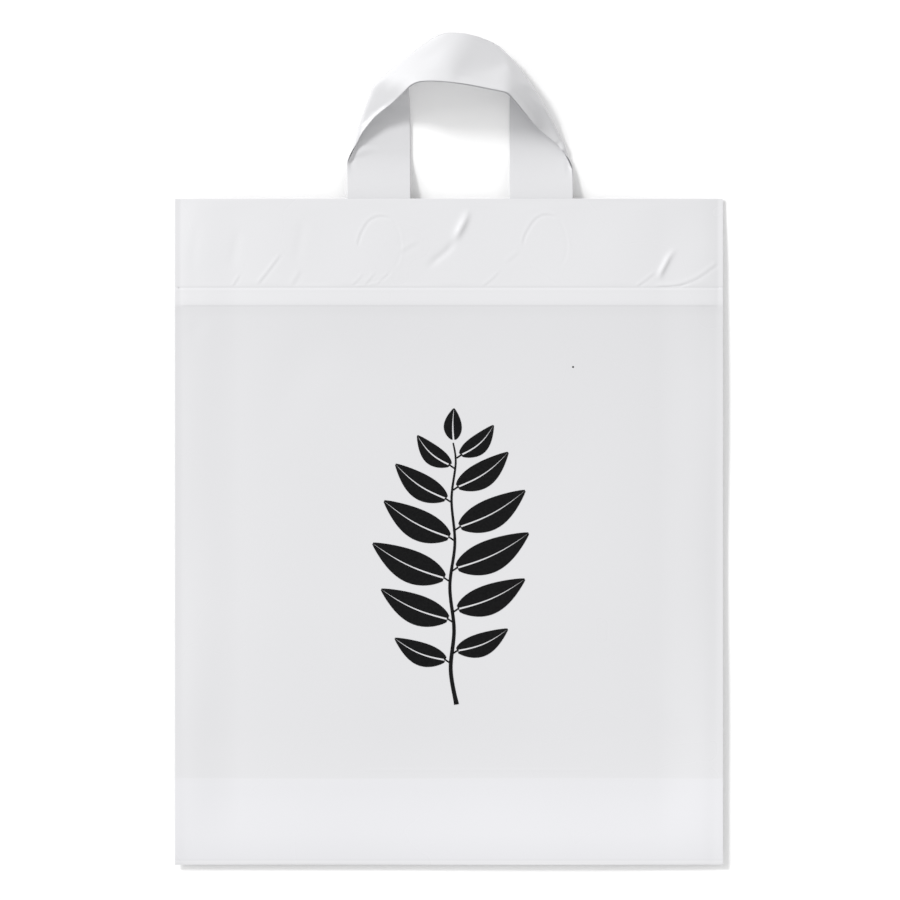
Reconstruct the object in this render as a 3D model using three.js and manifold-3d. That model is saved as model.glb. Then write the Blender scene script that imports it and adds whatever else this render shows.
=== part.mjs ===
// Plastic film carrier bag with two soft loop handles, lying flat on its back panel.
// Millimetres, +Z up. +X runs across the bag, +Y from the bottom edge towards the handles.
// Three pieces: one folded and side-welded web of film (the body), and two film strips (the
// handles) that are sealed inside the front hem and inside the back hem.
import * as THREE from "three";
import Module from "manifold-3d";

// ---------------------------------------------------------------- driving dimensions
const FILM = 0.2; // drawn thickness of the film
const BAG_WIDTH = 328.8; // across the two side welds
const BAG_TOP = 150.6; // top fold of the hem
const BAG_BOTTOM = -249.3; // bottom folds
const FLAP = 63.3; // depth of the hem flap, turned in at the top
const HEM_SEAL = 53.1; // seal line of the hem, below the top fold
const HEM_SEAL_WIDTH = 1.0;
const GUSSET = 51.0; // folded half depth of the bottom gusset
const PITCH = 0.35; // centre to centre of two layers that lie on each other
const SEAM = 3.0; // width of a side weld
const SEAM_HEIGHT = 1.3;
const PILLOW = 6.2; // how far the front panel stands off the back panel
const SEAT = 0.3; // clear gap between a handle end and the hem it is sealed to
const HANDLE_GAP = 0.45; // each handle's distance from the shared handle surface
const LEG_RISE = 27.4; // length over which a handle leg comes down from the mouth
const CALM = 16; // stations at each end that belong to a leg near the mouth

// Shared mid surface of the two loops: 121 stations from the left leg over the loop to the right leg,
// 17 points across each, from the loop's outer edge to its inner edge, as x, y, z in turn. It is a
// strip 249 mm long and 38.1 mm wide that bends but does not stretch: its width stays within 2 %, apart
// from the two folds, which are rounded and measure up to 7 % narrower along the facets.
const LOOP = [
  [-61.2, 150.59, 0.8, -58.82, 150.6, 0.8, -56.44, 150.6, 0.8, -54.05, 150.6, 0.8, -51.67, 150.6, 0.8, -49.29, 150.6, 0.8, -46.91, 150.6, 0.8, -44.53, 150.6, 0.8, -42.14, 150.6, 0.8, -39.76, 150.6, 0.8, -37.38, 150.6, 0.8, -35, 150.6, 0.8, -32.62, 150.6, 0.8, -30.24, 150.6, 0.8, -27.86, 150.6, 0.8, -25.47, 150.6, 0.8, -23.09, 150.6, 0.8],
  [-61.2, 152.68, 0.8, -58.82, 152.67, 0.8, -56.43, 152.67, 0.8, -54.05, 152.67, 0.8, -51.67, 152.67, 0.8, -49.29, 152.67, 0.8, -46.91, 152.67, 0.8, -44.53, 152.67, 0.8, -42.14, 152.67, 0.8, -39.76, 152.67, 0.8, -37.38, 152.67, 0.8, -35, 152.67, 0.8, -32.62, 152.67, 0.8, -30.24, 152.67, 0.8, -27.86, 152.67, 0.8, -25.47, 152.68, 0.8, -23.09, 152.68, 0.8],
  [-61.2, 154.75, 0.8, -58.82, 154.75, 0.8, -56.43, 154.75, 0.8, -54.05, 154.75, 0.8, -51.67, 154.75, 0.8, -49.29, 154.75, 0.8, -46.91, 154.75, 0.8, -44.53, 154.75, 0.8, -42.14, 154.75, 0.8, -39.76, 154.75, 0.8, -37.38, 154.75, 0.8, -35, 154.75, 0.8, -32.62, 154.75, 0.8, -30.24, 154.75, 0.8, -27.86, 154.75, 0.8, -25.47, 154.75, 0.8, -23.09, 154.75, 0.8],
  [-61.19, 156.83, 0.8, -58.81, 156.83, 0.8, -56.43, 156.82, 0.8, -54.05, 156.82, 0.8, -51.67, 156.82, 0.8, -49.29, 156.82, 0.8, -46.91, 156.82, 0.8, -44.52, 156.82, 0.8, -42.14, 156.82, 0.8, -39.76, 156.82, 0.8, -37.38, 156.82, 0.8, -35, 156.82, 0.8, -32.62, 156.82, 0.8, -30.24, 156.82, 0.8, -27.86, 156.83, 0.8, -25.47, 156.83, 0.8, -23.09, 156.83, 0.8],
  [-61.19, 158.9, 0.81, -58.81, 158.9, 0.8, -56.43, 158.9, 0.8, -54.05, 158.9, 0.8, -51.67, 158.89, 0.8, -49.29, 158.89, 0.8, -46.91, 158.89, 0.8, -44.52, 158.89, 0.8, -42.14, 158.9, 0.8, -39.76, 158.9, 0.8, -37.38, 158.9, 0.8, -35, 158.9, 0.8, -32.62, 158.9, 0.8, -30.24, 158.9, 0.8, -27.86, 158.9, 0.8, -25.47, 158.9, 0.8, -23.09, 158.9, 0.8],
  [-61.19, 160.98, 0.85, -58.81, 160.97, 0.82, -56.43, 160.97, 0.8, -54.05, 160.97, 0.8, -51.67, 160.97, 0.8, -49.29, 160.97, 0.8, -46.9, 160.97, 0.8, -44.52, 160.97, 0.8, -42.14, 160.97, 0.8, -39.76, 160.97, 0.8, -37.38, 160.97, 0.8, -35, 160.97, 0.8, -32.62, 160.97, 0.8, -30.24, 160.98, 0.8, -27.86, 160.98, 0.8, -25.47, 160.98, 0.8, -23.09, 160.98, 0.8],
  [-61.19, 163.05, 0.95, -58.81, 163.05, 0.85, -56.43, 163.04, 0.8, -54.05, 163.04, 0.8, -51.67, 163.04, 0.8, -49.29, 163.04, 0.8, -46.9, 163.04, 0.8, -44.52, 163.04, 0.8, -42.14, 163.04, 0.8, -39.76, 163.04, 0.8, -37.38, 163.05, 0.8, -35, 163.05, 0.8, -32.62, 163.05, 0.8, -30.24, 163.05, 0.8, -27.86, 163.05, 0.8, -25.47, 163.05, 0.8, -23.09, 163.05, 0.8],
  [-61.18, 165.13, 1.11, -58.81, 165.12, 0.89, -56.43, 165.12, 0.81, -54.05, 165.11, 0.8, -51.67, 165.11, 0.8, -49.29, 165.11, 0.8, -46.9, 165.12, 0.8, -44.52, 165.12, 0.8, -42.14, 165.12, 0.8, -39.76, 165.12, 0.8, -37.38, 165.12, 0.8, -35, 165.12, 0.8, -32.62, 165.13, 0.8, -30.24, 165.13, 0.8, -27.86, 165.13, 0.8, -25.47, 165.13, 0.8, -23.09, 165.13, 0.8],
  [-61.15, 167.21, 1.28, -58.81, 167.19, 0.85, -56.43, 167.19, 0.8, -54.05, 167.19, 0.8, -51.67, 167.19, 0.8, -49.28, 167.19, 0.8, -46.9, 167.19, 0.8, -44.52, 167.19, 0.8, -42.14, 167.19, 0.8, -39.76, 167.19, 0.8, -37.38, 167.2, 0.8, -35, 167.2, 0.8, -32.62, 167.2, 0.8, -30.24, 167.2, 0.8, -27.86, 167.21, 0.8, -25.48, 167.21, 0.8, -23.1, 167.21, 0.8],
  [-61.08, 169.28, 1.52, -58.81, 169.26, 0.78, -56.43, 169.26, 0.8, -54.05, 169.26, 0.8, -51.67, 169.26, 0.8, -49.29, 169.26, 0.8, -46.9, 169.26, 0.8, -44.52, 169.26, 0.8, -42.14, 169.26, 0.8, -39.76, 169.27, 0.8, -37.38, 169.27, 0.8, -35, 169.27, 0.8, -32.62, 169.28, 0.8, -30.24, 169.28, 0.8, -27.86, 169.28, 0.8, -25.48, 169.29, 0.8, -23.1, 169.29, 0.8],
  [-60.91, 171.35, 1.85, -58.81, 171.32, 0.69, -56.43, 171.33, 0.79, -54.05, 171.33, 0.8, -51.67, 171.33, 0.8, -49.29, 171.33, 0.8, -46.9, 171.33, 0.8, -44.52, 171.33, 0.8, -42.14, 171.34, 0.8, -39.76, 171.34, 0.8, -37.38, 171.35, 0.8, -35, 171.35, 0.8, -32.62, 171.35, 0.8, -30.24, 171.36, 0.8, -27.86, 171.36, 0.8, -25.48, 171.36, 0.8, -23.1, 171.37, 0.8],
  [-60.48, 173.33, 2.43, -58.82, 173.39, 0.68, -56.44, 173.4, 0.78, -54.05, 173.4, 0.79, -51.67, 173.4, 0.79, -49.29, 173.4, 0.8, -46.9, 173.4, 0.8, -44.52, 173.41, 0.8, -42.14, 173.41, 0.8, -39.76, 173.42, 0.8, -37.38, 173.42, 0.8, -35, 173.43, 0.8, -32.62, 173.43, 0.8, -30.24, 173.43, 0.8, -27.86, 173.44, 0.8, -25.48, 173.44, 0.8, -23.1, 173.45, 0.8],
  [-59.77, 175.23, 3.02, -58.71, 175.44, 0.99, -56.44, 175.47, 0.77, -54.05, 175.47, 0.77, -51.67, 175.47, 0.77, -49.29, 175.47, 0.77, -46.9, 175.47, 0.79, -44.52, 175.48, 0.79, -42.14, 175.48, 0.8, -39.76, 175.49, 0.8, -37.38, 175.5, 0.8, -35, 175.5, 0.8, -32.62, 175.51, 0.8, -30.24, 175.51, 0.8, -27.86, 175.52, 0.8, -25.48, 175.52, 0.8, -23.1, 175.53, 0.8],
  [-58.83, 177.12, 3.23, -58.42, 177.45, 1.5, -56.42, 177.47, 1.18, -54.04, 177.47, 1.27, -51.66, 177.51, 1.13, -49.29, 177.53, 0.95, -46.91, 177.54, 0.84, -44.53, 177.55, 0.8, -42.14, 177.56, 0.8, -39.76, 177.56, 0.8, -37.38, 177.57, 0.8, -35, 177.58, 0.8, -32.62, 177.58, 0.8, -30.25, 177.59, 0.8, -27.87, 177.6, 0.8, -25.49, 177.6, 0.8, -23.11, 177.61, 0.8],
  [-57.81, 178.94, 3.38, -57.99, 179.42, 1.85, -56.38, 179.49, 0.91, -54.06, 179.54, 1.16, -51.67, 179.57, 1.23, -49.29, 179.59, 1.17, -46.91, 179.6, 1.04, -44.53, 179.62, 0.92, -42.15, 179.63, 0.84, -39.77, 179.64, 0.81, -37.39, 179.65, 0.8, -35.01, 179.65, 0.8, -32.63, 179.66, 0.8, -30.25, 179.67, 0.8, -27.87, 179.68, 0.8, -25.49, 179.68, 0.8, -23.12, 179.69, 0.8],
  [-56.79, 180.75, 3.37, -57.39, 181.34, 2.14, -56.32, 181.51, 0.8, -54.06, 181.57, 0.74, -51.68, 181.61, 0.84, -49.3, 181.64, 0.89, -46.92, 181.66, 0.85, -44.54, 181.68, 0.8, -42.16, 181.7, 0.8, -39.78, 181.71, 0.8, -37.4, 181.72, 0.8, -35.02, 181.73, 0.8, -32.64, 181.74, 0.8, -30.26, 181.75, 0.8, -27.88, 181.76, 0.8, -25.5, 181.77, 0.8, -23.12, 181.78, 0.8],
  [-55.77, 182.55, 3.29, -56.75, 183.24, 2.38, -56.16, 183.53, 0.93, -54.09, 183.62, 0.72, -51.71, 183.67, 0.77, -49.32, 183.71, 0.79, -46.94, 183.73, 0.79, -44.56, 183.75, 0.79, -42.17, 183.77, 0.8, -39.79, 183.78, 0.8, -37.41, 183.8, 0.8, -35.03, 183.81, 0.8, -32.65, 183.82, 0.8, -30.27, 183.83, 0.8, -27.89, 183.84, 0.8, -25.51, 183.85, 0.8, -23.13, 183.86, 0.8],
  [-54.72, 184.33, 3.19, -56.04, 185.13, 2.61, -55.8, 185.51, 1.31, -54.09, 185.65, 0.95, -51.74, 185.71, 1.11, -49.35, 185.75, 1.12, -46.96, 185.78, 1.07, -44.57, 185.81, 0.99, -42.19, 185.83, 0.9, -39.8, 185.85, 0.84, -37.42, 185.87, 0.81, -35.04, 185.88, 0.8, -32.66, 185.9, 0.8, -30.28, 185.91, 0.8, -27.9, 185.92, 0.8, -25.52, 185.93, 0.8, -23.14, 185.95, 0.8],
  [-53.49, 186.04, 3.18, -55.29, 187.01, 2.8, -55.35, 187.44, 1.59, -54.06, 187.67, 0.86, -51.76, 187.74, 0.78, -49.37, 187.79, 0.86, -46.98, 187.84, 0.9, -44.59, 187.87, 0.89, -42.21, 187.9, 0.85, -39.82, 187.93, 0.82, -37.44, 187.94, 0.8, -35.05, 187.96, 0.8, -32.67, 187.98, 0.8, -30.29, 187.99, 0.8, -27.91, 188, 0.8, -25.53, 188.02, 0.81, -23.16, 188.03, 0.81],
  [-52.64, 187.95, 3.1, -54.46, 188.81, 2.76, -54.93, 189.35, 1.83, -53.96, 189.68, 0.98, -51.8, 189.8, 0.74, -49.4, 189.85, 0.78, -47.01, 189.9, 0.79, -44.62, 189.94, 0.8, -42.23, 189.97, 0.8, -39.84, 190, 0.8, -37.46, 190.02, 0.8, -35.07, 190.04, 0.8, -32.69, 190.05, 0.8, -30.31, 190.07, 0.8, -27.93, 190.09, 0.81, -25.55, 190.1, 0.82, -23.17, 190.12, 0.83],
  [-52.15, 189.75, 3.26, -53.93, 190.47, 2.99, -54.65, 191.16, 2.24, -53.92, 191.67, 1.23, -51.84, 191.85, 0.69, -49.44, 191.91, 0.76, -47.05, 191.96, 0.79, -44.65, 192, 0.79, -42.26, 192.04, 0.8, -39.87, 192.07, 0.8, -37.48, 192.09, 0.8, -35.1, 192.11, 0.8, -32.71, 192.13, 0.8, -30.33, 192.15, 0.81, -27.95, 192.17, 0.82, -25.57, 192.19, 0.84, -23.19, 192.21, 0.85],
  [-52.2, 190.62, 4.47, -53.82, 191.66, 4.11, -54.6, 192.82, 3.09, -54.08, 193.66, 1.68, -51.88, 193.9, 0.9, -49.48, 193.97, 0.78, -47.08, 194.02, 0.79, -44.69, 194.07, 0.81, -42.29, 194.1, 0.81, -39.9, 194.13, 0.8, -37.51, 194.16, 0.8, -35.12, 194.19, 0.8, -32.74, 194.21, 0.81, -30.35, 194.23, 0.83, -27.97, 194.25, 0.85, -25.59, 194.28, 0.87, -23.22, 194.3, 0.89],
  [-51.09, 191.75, 4.45, -52.77, 193.11, 4.38, -54.24, 194.46, 4.07, -53.93, 195.49, 2.47, -51.9, 195.88, 1.46, -49.52, 196, 1.16, -47.12, 196.08, 1.01, -44.73, 196.13, 0.89, -42.33, 196.17, 0.82, -39.94, 196.2, 0.79, -37.54, 196.23, 0.79, -35.15, 196.26, 0.8, -32.76, 196.29, 0.84, -30.38, 196.31, 0.87, -28, 196.34, 0.9, -25.62, 196.37, 0.92, -23.25, 196.4, 0.95],
  [-50, 192.7, 5.77, -51.82, 194.3, 5.64, -53.4, 195.91, 5.17, -53.6, 197.19, 3.47, -51.91, 197.82, 2.14, -49.6, 198.04, 1.25, -47.19, 198.12, 0.8, -44.77, 198.18, 0.76, -42.37, 198.23, 0.79, -39.98, 198.27, 0.8, -37.58, 198.3, 0.83, -35.19, 198.33, 0.89, -32.8, 198.36, 0.94, -30.42, 198.39, 0.96, -28.04, 198.42, 0.97, -25.66, 198.45, 1, -23.28, 198.48, 1.05],
  [-48.64, 194.25, 5.92, -50.46, 195.82, 5.97, -52.17, 197.39, 5.76, -52.83, 198.65, 4.58, -51.48, 199.19, 3.43, -49.31, 199.57, 2.6, -47.19, 200.03, 1.58, -44.83, 200.18, 1.28, -42.43, 200.26, 1.15, -40.03, 200.31, 1.09, -37.63, 200.35, 1.1, -35.23, 200.39, 1.12, -32.84, 200.43, 1.1, -30.46, 200.47, 1.08, -28.08, 200.51, 1.09, -25.7, 200.54, 1.14, -23.32, 200.57, 1.21],
  [-47.28, 195.82, 6, -49.12, 197.37, 6.11, -50.95, 198.93, 6.07, -52.23, 200.3, 5.36, -51.67, 201.06, 3.72, -49.67, 201.6, 2.76, -47.28, 201.95, 2.28, -44.87, 202.12, 1.99, -42.47, 202.21, 1.81, -40.07, 202.27, 1.72, -37.68, 202.35, 1.59, -35.29, 202.44, 1.41, -32.9, 202.5, 1.27, -30.51, 202.55, 1.23, -28.12, 202.58, 1.28, -25.74, 202.61, 1.37, -23.36, 202.64, 1.47],
  [-45.95, 197.42, 5.9, -47.81, 198.95, 5.87, -49.66, 200.48, 5.88, -51.28, 201.9, 5.94, -51.29, 202.79, 4.61, -49.64, 203.23, 3.9, -47.24, 203.45, 3.67, -44.85, 203.74, 3.25, -42.48, 204.02, 2.79, -40.12, 204.24, 2.32, -37.76, 204.4, 1.83, -35.37, 204.5, 1.55, -32.97, 204.56, 1.48, -30.57, 204.6, 1.52, -28.18, 204.63, 1.62, -25.79, 204.66, 1.75, -23.42, 204.69, 1.9],
  [-44.92, 199.2, 5.81, -46.52, 200.54, 5.87, -48.36, 202.05, 6.04, -50.1, 203.44, 6.18, -50.73, 204.47, 5.32, -49.68, 205.14, 4.29, -47.5, 205.47, 3.54, -45.14, 205.75, 3.01, -42.75, 206.02, 2.56, -40.32, 206.27, 2.22, -37.88, 206.43, 2.03, -35.45, 206.52, 1.97, -33.04, 206.56, 2.01, -30.64, 206.6, 2.1, -28.25, 206.62, 2.23, -25.87, 206.64, 2.41, -23.49, 206.65, 2.62],
  [-44.15, 200.51, 6.19, -45.52, 201.82, 6.19, -47.29, 203.39, 6.27, -49.12, 204.81, 6.52, -50.12, 206, 6.19, -49.57, 206.95, 5.11, -47.53, 207.34, 4.39, -45.14, 207.52, 4.04, -42.74, 207.66, 3.78, -40.33, 207.8, 3.57, -37.92, 207.95, 3.4, -35.52, 208.12, 3.25, -33.13, 208.29, 3.13, -30.74, 208.38, 3.14, -28.36, 208.38, 3.34, -25.99, 208.34, 3.6, -23.63, 208.3, 3.88],
  [-43.8, 200.44, 7.63, -45.27, 201.94, 7.75, -46.91, 203.7, 7.88, -48.52, 205.52, 7.98, -49.6, 207.29, 7.56, -49.51, 208.66, 6.21, -47.46, 208.96, 5.63, -45.11, 209.17, 5.27, -42.75, 209.39, 4.92, -40.38, 209.61, 4.56, -38.02, 209.84, 4.23, -35.63, 210.02, 4.05, -33.23, 210.12, 4.08, -30.85, 210.11, 4.3, -28.48, 210.01, 4.63, -26.13, 209.91, 4.96, -23.76, 209.86, 5.25],
  [-42.64, 200.95, 9.13, -44.13, 202.85, 9.05, -45.6, 204.75, 8.92, -47.07, 206.66, 8.79, -48.5, 208.56, 8.68, -49.09, 210.23, 7.42, -47.62, 210.96, 6, -45.25, 211.16, 5.82, -42.91, 211.41, 5.27, -40.53, 211.63, 4.97, -38.13, 211.79, 4.9, -35.72, 211.84, 5.05, -33.35, 211.76, 5.34, -30.99, 211.62, 5.71, -28.63, 211.51, 6.05, -26.27, 211.45, 6.35, -23.9, 211.42, 6.6],
  [-41.01, 202.21, 9.1, -42.49, 204.1, 9.06, -43.96, 206, 9.02, -45.43, 207.9, 9.02, -46.89, 209.8, 9.04, -48.21, 211.66, 8.67, -47.79, 212.92, 6.73, -45.48, 213.19, 5.86, -43.04, 213.4, 5.73, -40.63, 213.46, 5.92, -38.23, 213.42, 6.17, -35.87, 213.27, 6.53, -33.5, 213.16, 6.86, -31.13, 213.11, 7.15, -28.76, 213.1, 7.38, -26.38, 213.13, 7.56, -24, 213.16, 7.73],
  [-39.38, 203.48, 9.15, -40.86, 205.36, 9.2, -42.34, 207.25, 9.26, -43.81, 209.15, 9.33, -45.3, 211.03, 9.45, -46.81, 212.89, 9.68, -47.3, 214.58, 8.04, -45.54, 215.1, 6.56, -43.18, 214.8, 7.2, -40.77, 214.76, 7.38, -38.38, 214.78, 7.66, -35.99, 214.83, 7.89, -33.6, 214.9, 7.99, -31.21, 214.96, 8.07, -28.83, 215.03, 8.14, -26.45, 215.09, 8.22, -24.08, 215.16, 8.3],
  [-37.8, 204.69, 9.69, -39.29, 206.56, 9.81, -40.78, 208.43, 9.92, -42.27, 210.3, 10.06, -43.76, 212.18, 10.2, -45.21, 214.08, 10.3, -46.4, 216.03, 9.4, -45.37, 217.01, 7.46, -43.04, 216.78, 6.81, -40.71, 216.59, 6.61, -38.36, 216.67, 6.94, -36, 216.77, 7.18, -33.63, 216.89, 7.42, -31.26, 216.99, 7.62, -28.88, 217.07, 7.79, -26.5, 217.15, 7.93, -24.12, 217.22, 8.06],
  [-36.3, 205.83, 10.57, -37.79, 207.7, 10.67, -39.26, 209.59, 10.72, -40.71, 211.48, 10.74, -42.15, 213.39, 10.71, -43.57, 215.31, 10.62, -45.01, 217.22, 10.54, -44.67, 218.65, 8.66, -42.87, 218.83, 7.01, -40.68, 218.6, 6.02, -38.31, 218.38, 5.74, -35.93, 218.33, 5.81, -33.58, 218.48, 6.09, -31.23, 218.68, 6.42, -28.87, 218.83, 6.68, -26.5, 218.96, 6.91, -24.13, 219.07, 7.12],
  [-34.89, 206.9, 11.68, -36.35, 208.79, 11.68, -37.77, 210.71, 11.62, -39.19, 212.63, 11.54, -40.62, 214.55, 11.49, -42.09, 216.44, 11.5, -43.58, 218.3, 11.6, -43.45, 219.93, 9.88, -42.21, 220.56, 7.93, -40.42, 220.64, 6.31, -38.25, 220.41, 5.29, -35.92, 220.17, 4.82, -33.53, 220.09, 4.78, -31.16, 220.18, 4.99, -28.81, 220.37, 5.3, -26.45, 220.53, 5.56, -24.09, 220.68, 5.81],
  [-33.62, 207.88, 13.01, -35.06, 209.78, 12.96, -36.46, 211.72, 12.86, -37.87, 213.65, 12.76, -39.29, 215.57, 12.69, -40.73, 217.47, 12.67, -42.19, 219.36, 12.71, -42.06, 221.04, 11.04, -41.15, 221.98, 9.05, -39.8, 222.44, 7.12, -37.97, 222.44, 5.55, -35.84, 222.22, 4.48, -33.52, 221.99, 3.93, -31.14, 221.88, 3.78, -28.76, 221.91, 3.91, -26.39, 222.04, 4.14, -24.03, 222.2, 4.4],
  [-32.52, 208.76, 14.54, -33.98, 210.65, 14.5, -35.39, 212.57, 14.41, -36.81, 214.49, 14.33, -38.24, 216.39, 14.28, -39.69, 218.28, 14.25, -40.78, 220.38, 13.86, -40.54, 222, 12.15, -39.83, 223.14, 10.19, -38.83, 223.95, 8.18, -37.38, 224.29, 6.29, -35.55, 224.26, 4.72, -33.42, 224.04, 3.63, -31.12, 223.81, 3.03, -28.75, 223.68, 2.81, -26.36, 223.66, 2.84, -23.99, 223.75, 3.01],
  [-31.55, 209.55, 16.22, -33.04, 211.41, 16.19, -34.48, 213.31, 16.12, -35.92, 215.21, 16.06, -37.33, 217.13, 15.98, -38.56, 219.16, 15.75, -39.27, 221.31, 14.97, -38.98, 222.89, 13.22, -38.37, 224.14, 11.3, -37.57, 225.17, 9.31, -36.44, 225.83, 7.3, -34.97, 226.12, 5.43, -33.13, 226.09, 3.87, -31.01, 225.87, 2.78, -28.72, 225.64, 2.14, -26.36, 225.48, 1.84, -23.97, 225.41, 1.77],
  [-30.69, 210.27, 17.98, -32.17, 212.13, 17.93, -33.61, 214.03, 17.86, -35.03, 215.95, 17.77, -36.31, 217.95, 17.57, -37.28, 220.08, 17.09, -37.7, 222.18, 16.03, -37.38, 223.74, 14.27, -36.85, 225.08, 12.38, -36.17, 226.24, 10.42, -35.22, 227.1, 8.41, -34.06, 227.71, 6.41, -32.57, 227.97, 4.54, -30.72, 227.92, 3.01, -28.58, 227.71, 1.94, -26.31, 227.47, 1.25, -23.98, 227.24, 0.78],
  [-29.88, 210.96, 19.78, -31.32, 212.85, 19.69, -32.73, 214.77, 19.58, -34.05, 216.75, 19.41, -35.17, 218.83, 19.06, -35.89, 220.99, 18.33, -36.07, 222.99, 17.05, -35.75, 224.56, 15.3, -35.3, 225.98, 13.45, -34.71, 227.24, 11.52, -33.85, 228.2, 9.52, -32.86, 228.99, 7.5, -31.69, 229.59, 5.5, -30.18, 229.82, 3.65, -28.29, 229.75, 2.19, -26.11, 229.53, 1.23, -23.78, 229.3, 0.79],
  [-29.11, 211.64, 21.6, -30.47, 213.58, 21.45, -31.81, 215.55, 21.27, -33.01, 217.59, 20.99, -33.92, 219.73, 20.44, -34.39, 221.86, 19.48, -34.4, 223.76, 18.04, -34.1, 225.34, 16.3, -33.71, 226.83, 14.49, -33.21, 228.2, 12.61, -32.44, 229.26, 10.62, -31.48, 230.08, 8.61, -30.52, 230.9, 6.59, -29.36, 231.49, 4.58, -27.82, 231.7, 2.75, -25.87, 231.59, 1.37, -23.58, 231.36, 0.72],
  [-28.35, 212.33, 23.42, -29.61, 214.33, 23.18, -30.84, 216.35, 22.91, -31.88, 218.46, 22.49, -32.56, 220.62, 21.73, -32.81, 222.68, 20.55, -32.7, 224.48, 19, -32.41, 226.08, 17.27, -32.08, 227.64, 15.51, -31.67, 229.11, 13.68, -31.01, 230.29, 11.72, -30.07, 231.13, 9.71, -29.11, 231.95, 7.69, -28.19, 232.82, 5.67, -27.05, 233.42, 3.65, -25.49, 233.59, 1.84, -23.42, 233.43, 0.61],
  [-27.57, 213.06, 25.23, -28.72, 215.11, 24.88, -29.81, 217.19, 24.49, -30.64, 219.35, 23.89, -31.09, 221.48, 22.91, -31.15, 223.44, 21.56, -30.97, 225.17, 19.93, -30.69, 226.79, 18.21, -30.41, 228.4, 16.49, -30.07, 229.95, 14.72, -29.53, 231.27, 12.82, -28.68, 232.21, 10.8, -27.7, 233, 8.78, -26.77, 233.85, 6.76, -25.87, 234.74, 4.74, -24.73, 235.34, 2.72, -23.18, 235.48, 0.87],
  [-26.76, 213.83, 27, -27.76, 215.93, 26.53, -28.68, 218.07, 25.99, -29.28, 220.23, 25.18, -29.51, 222.29, 24, -29.44, 224.14, 22.51, -29.21, 225.83, 20.84, -28.95, 227.46, 19.13, -28.69, 229.11, 17.44, -28.42, 230.74, 15.72, -28, 232.19, 13.89, -27.29, 233.29, 11.9, -26.37, 234.14, 9.88, -25.41, 234.96, 7.85, -24.4, 235.7, 5.83, -23.41, 236.51, 3.83, -22.27, 237.1, 1.81],
  [-25.89, 214.64, 28.72, -26.73, 216.79, 28.1, -27.43, 218.95, 27.38, -27.8, 221.07, 26.36, -27.85, 223.03, 25, -27.69, 224.8, 23.41, -27.44, 226.45, 21.72, -27.18, 228.1, 20.02, -26.95, 229.78, 18.35, -26.71, 231.45, 16.67, -26.38, 233.02, 14.91, -25.82, 234.3, 12.98, -24.95, 235.2, 10.96, -23.84, 235.76, 8.93, -22.72, 236.28, 6.9, -21.76, 237.16, 4.92, -20.79, 238.03, 2.93],
  [-24.93, 215.51, 30.36, -25.58, 217.67, 29.58, -26.04, 219.82, 28.65, -26.2, 221.86, 27.42, -26.11, 223.7, 25.92, -25.89, 225.4, 24.26, -25.64, 227.05, 22.56, -25.39, 228.71, 20.87, -25.16, 230.4, 19.21, -24.94, 232.11, 17.57, -24.69, 233.76, 15.88, -24.27, 235.21, 14.04, -23.48, 236.19, 12.02, -22.21, 236.44, 10.01, -21.04, 236.85, 7.97, -19.96, 237.43, 5.92, -18.94, 238.1, 3.86],
  [-23.87, 216.41, 31.92, -24.28, 218.55, 30.94, -24.51, 220.63, 29.79, -24.49, 222.55, 28.38, -24.31, 224.3, 26.77, -24.06, 225.95, 25.08, -23.8, 227.59, 23.37, -23.56, 229.26, 21.69, -23.34, 230.96, 20.04, -23.13, 232.69, 18.41, -22.92, 234.41, 16.78, -22.62, 236.01, 15.05, -22.01, 237.19, 13.07, -20.84, 237.59, 11.03, -19.69, 238.05, 9, -18.56, 238.54, 6.97, -17.44, 239.05, 4.92],
  [-22.66, 217.33, 33.35, -22.82, 219.38, 32.15, -22.83, 221.34, 30.79, -22.68, 223.14, 29.22, -22.45, 224.81, 27.55, -22.19, 226.45, 25.83, -21.94, 228.09, 24.13, -21.7, 229.76, 22.45, -21.48, 231.46, 20.8, -21.28, 233.2, 19.19, -21.09, 234.97, 17.6, -20.86, 236.67, 15.96, -20.45, 238.12, 14.1, -19.67, 238.99, 12.01, -18.74, 239.65, 9.92, -17.77, 240.25, 7.83, -16.75, 240.82, 5.75],
  [-21.22, 218.19, 34.58, -21.17, 220.11, 33.16, -21.03, 221.92, 31.63, -20.81, 223.62, 29.97, -20.55, 225.26, 28.26, -20.29, 226.89, 26.54, -20.04, 228.53, 24.84, -19.8, 230.2, 23.15, -19.58, 231.9, 21.51, -19.38, 233.66, 19.91, -19.21, 235.44, 18.35, -19.01, 237.2, 16.76, -18.69, 238.78, 15, -18.12, 239.95, 13, -17.35, 240.82, 10.91, -16.48, 241.55, 8.81, -15.59, 242.24, 6.71],
  [-19.52, 218.88, 35.56, -19.34, 220.65, 33.98, -19.12, 222.36, 32.33, -18.88, 224.02, 30.64, -18.63, 225.66, 28.93, -18.37, 227.29, 27.21, -18.11, 228.92, 25.5, -17.87, 230.58, 23.81, -17.65, 232.29, 22.17, -17.46, 234.06, 20.59, -17.29, 235.87, 19.05, -17.12, 237.67, 17.5, -16.86, 239.34, 15.83, -16.42, 240.7, 13.92, -15.77, 241.75, 11.88, -14.96, 242.55, 9.79, -14.04, 243.2, 7.68],
  [-17.62, 219.33, 36.28, -17.39, 221.02, 34.61, -17.16, 222.69, 32.93, -16.93, 224.36, 31.25, -16.68, 226.02, 29.56, -16.43, 227.66, 27.86, -16.17, 229.29, 26.14, -15.93, 230.94, 24.44, -15.7, 232.65, 22.8, -15.52, 234.42, 21.23, -15.36, 236.25, 19.71, -15.21, 238.09, 18.2, -15, 239.83, 16.6, -14.66, 241.36, 14.8, -14.14, 242.6, 12.83, -13.42, 243.54, 10.76, -12.51, 244.19, 8.66],
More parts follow.
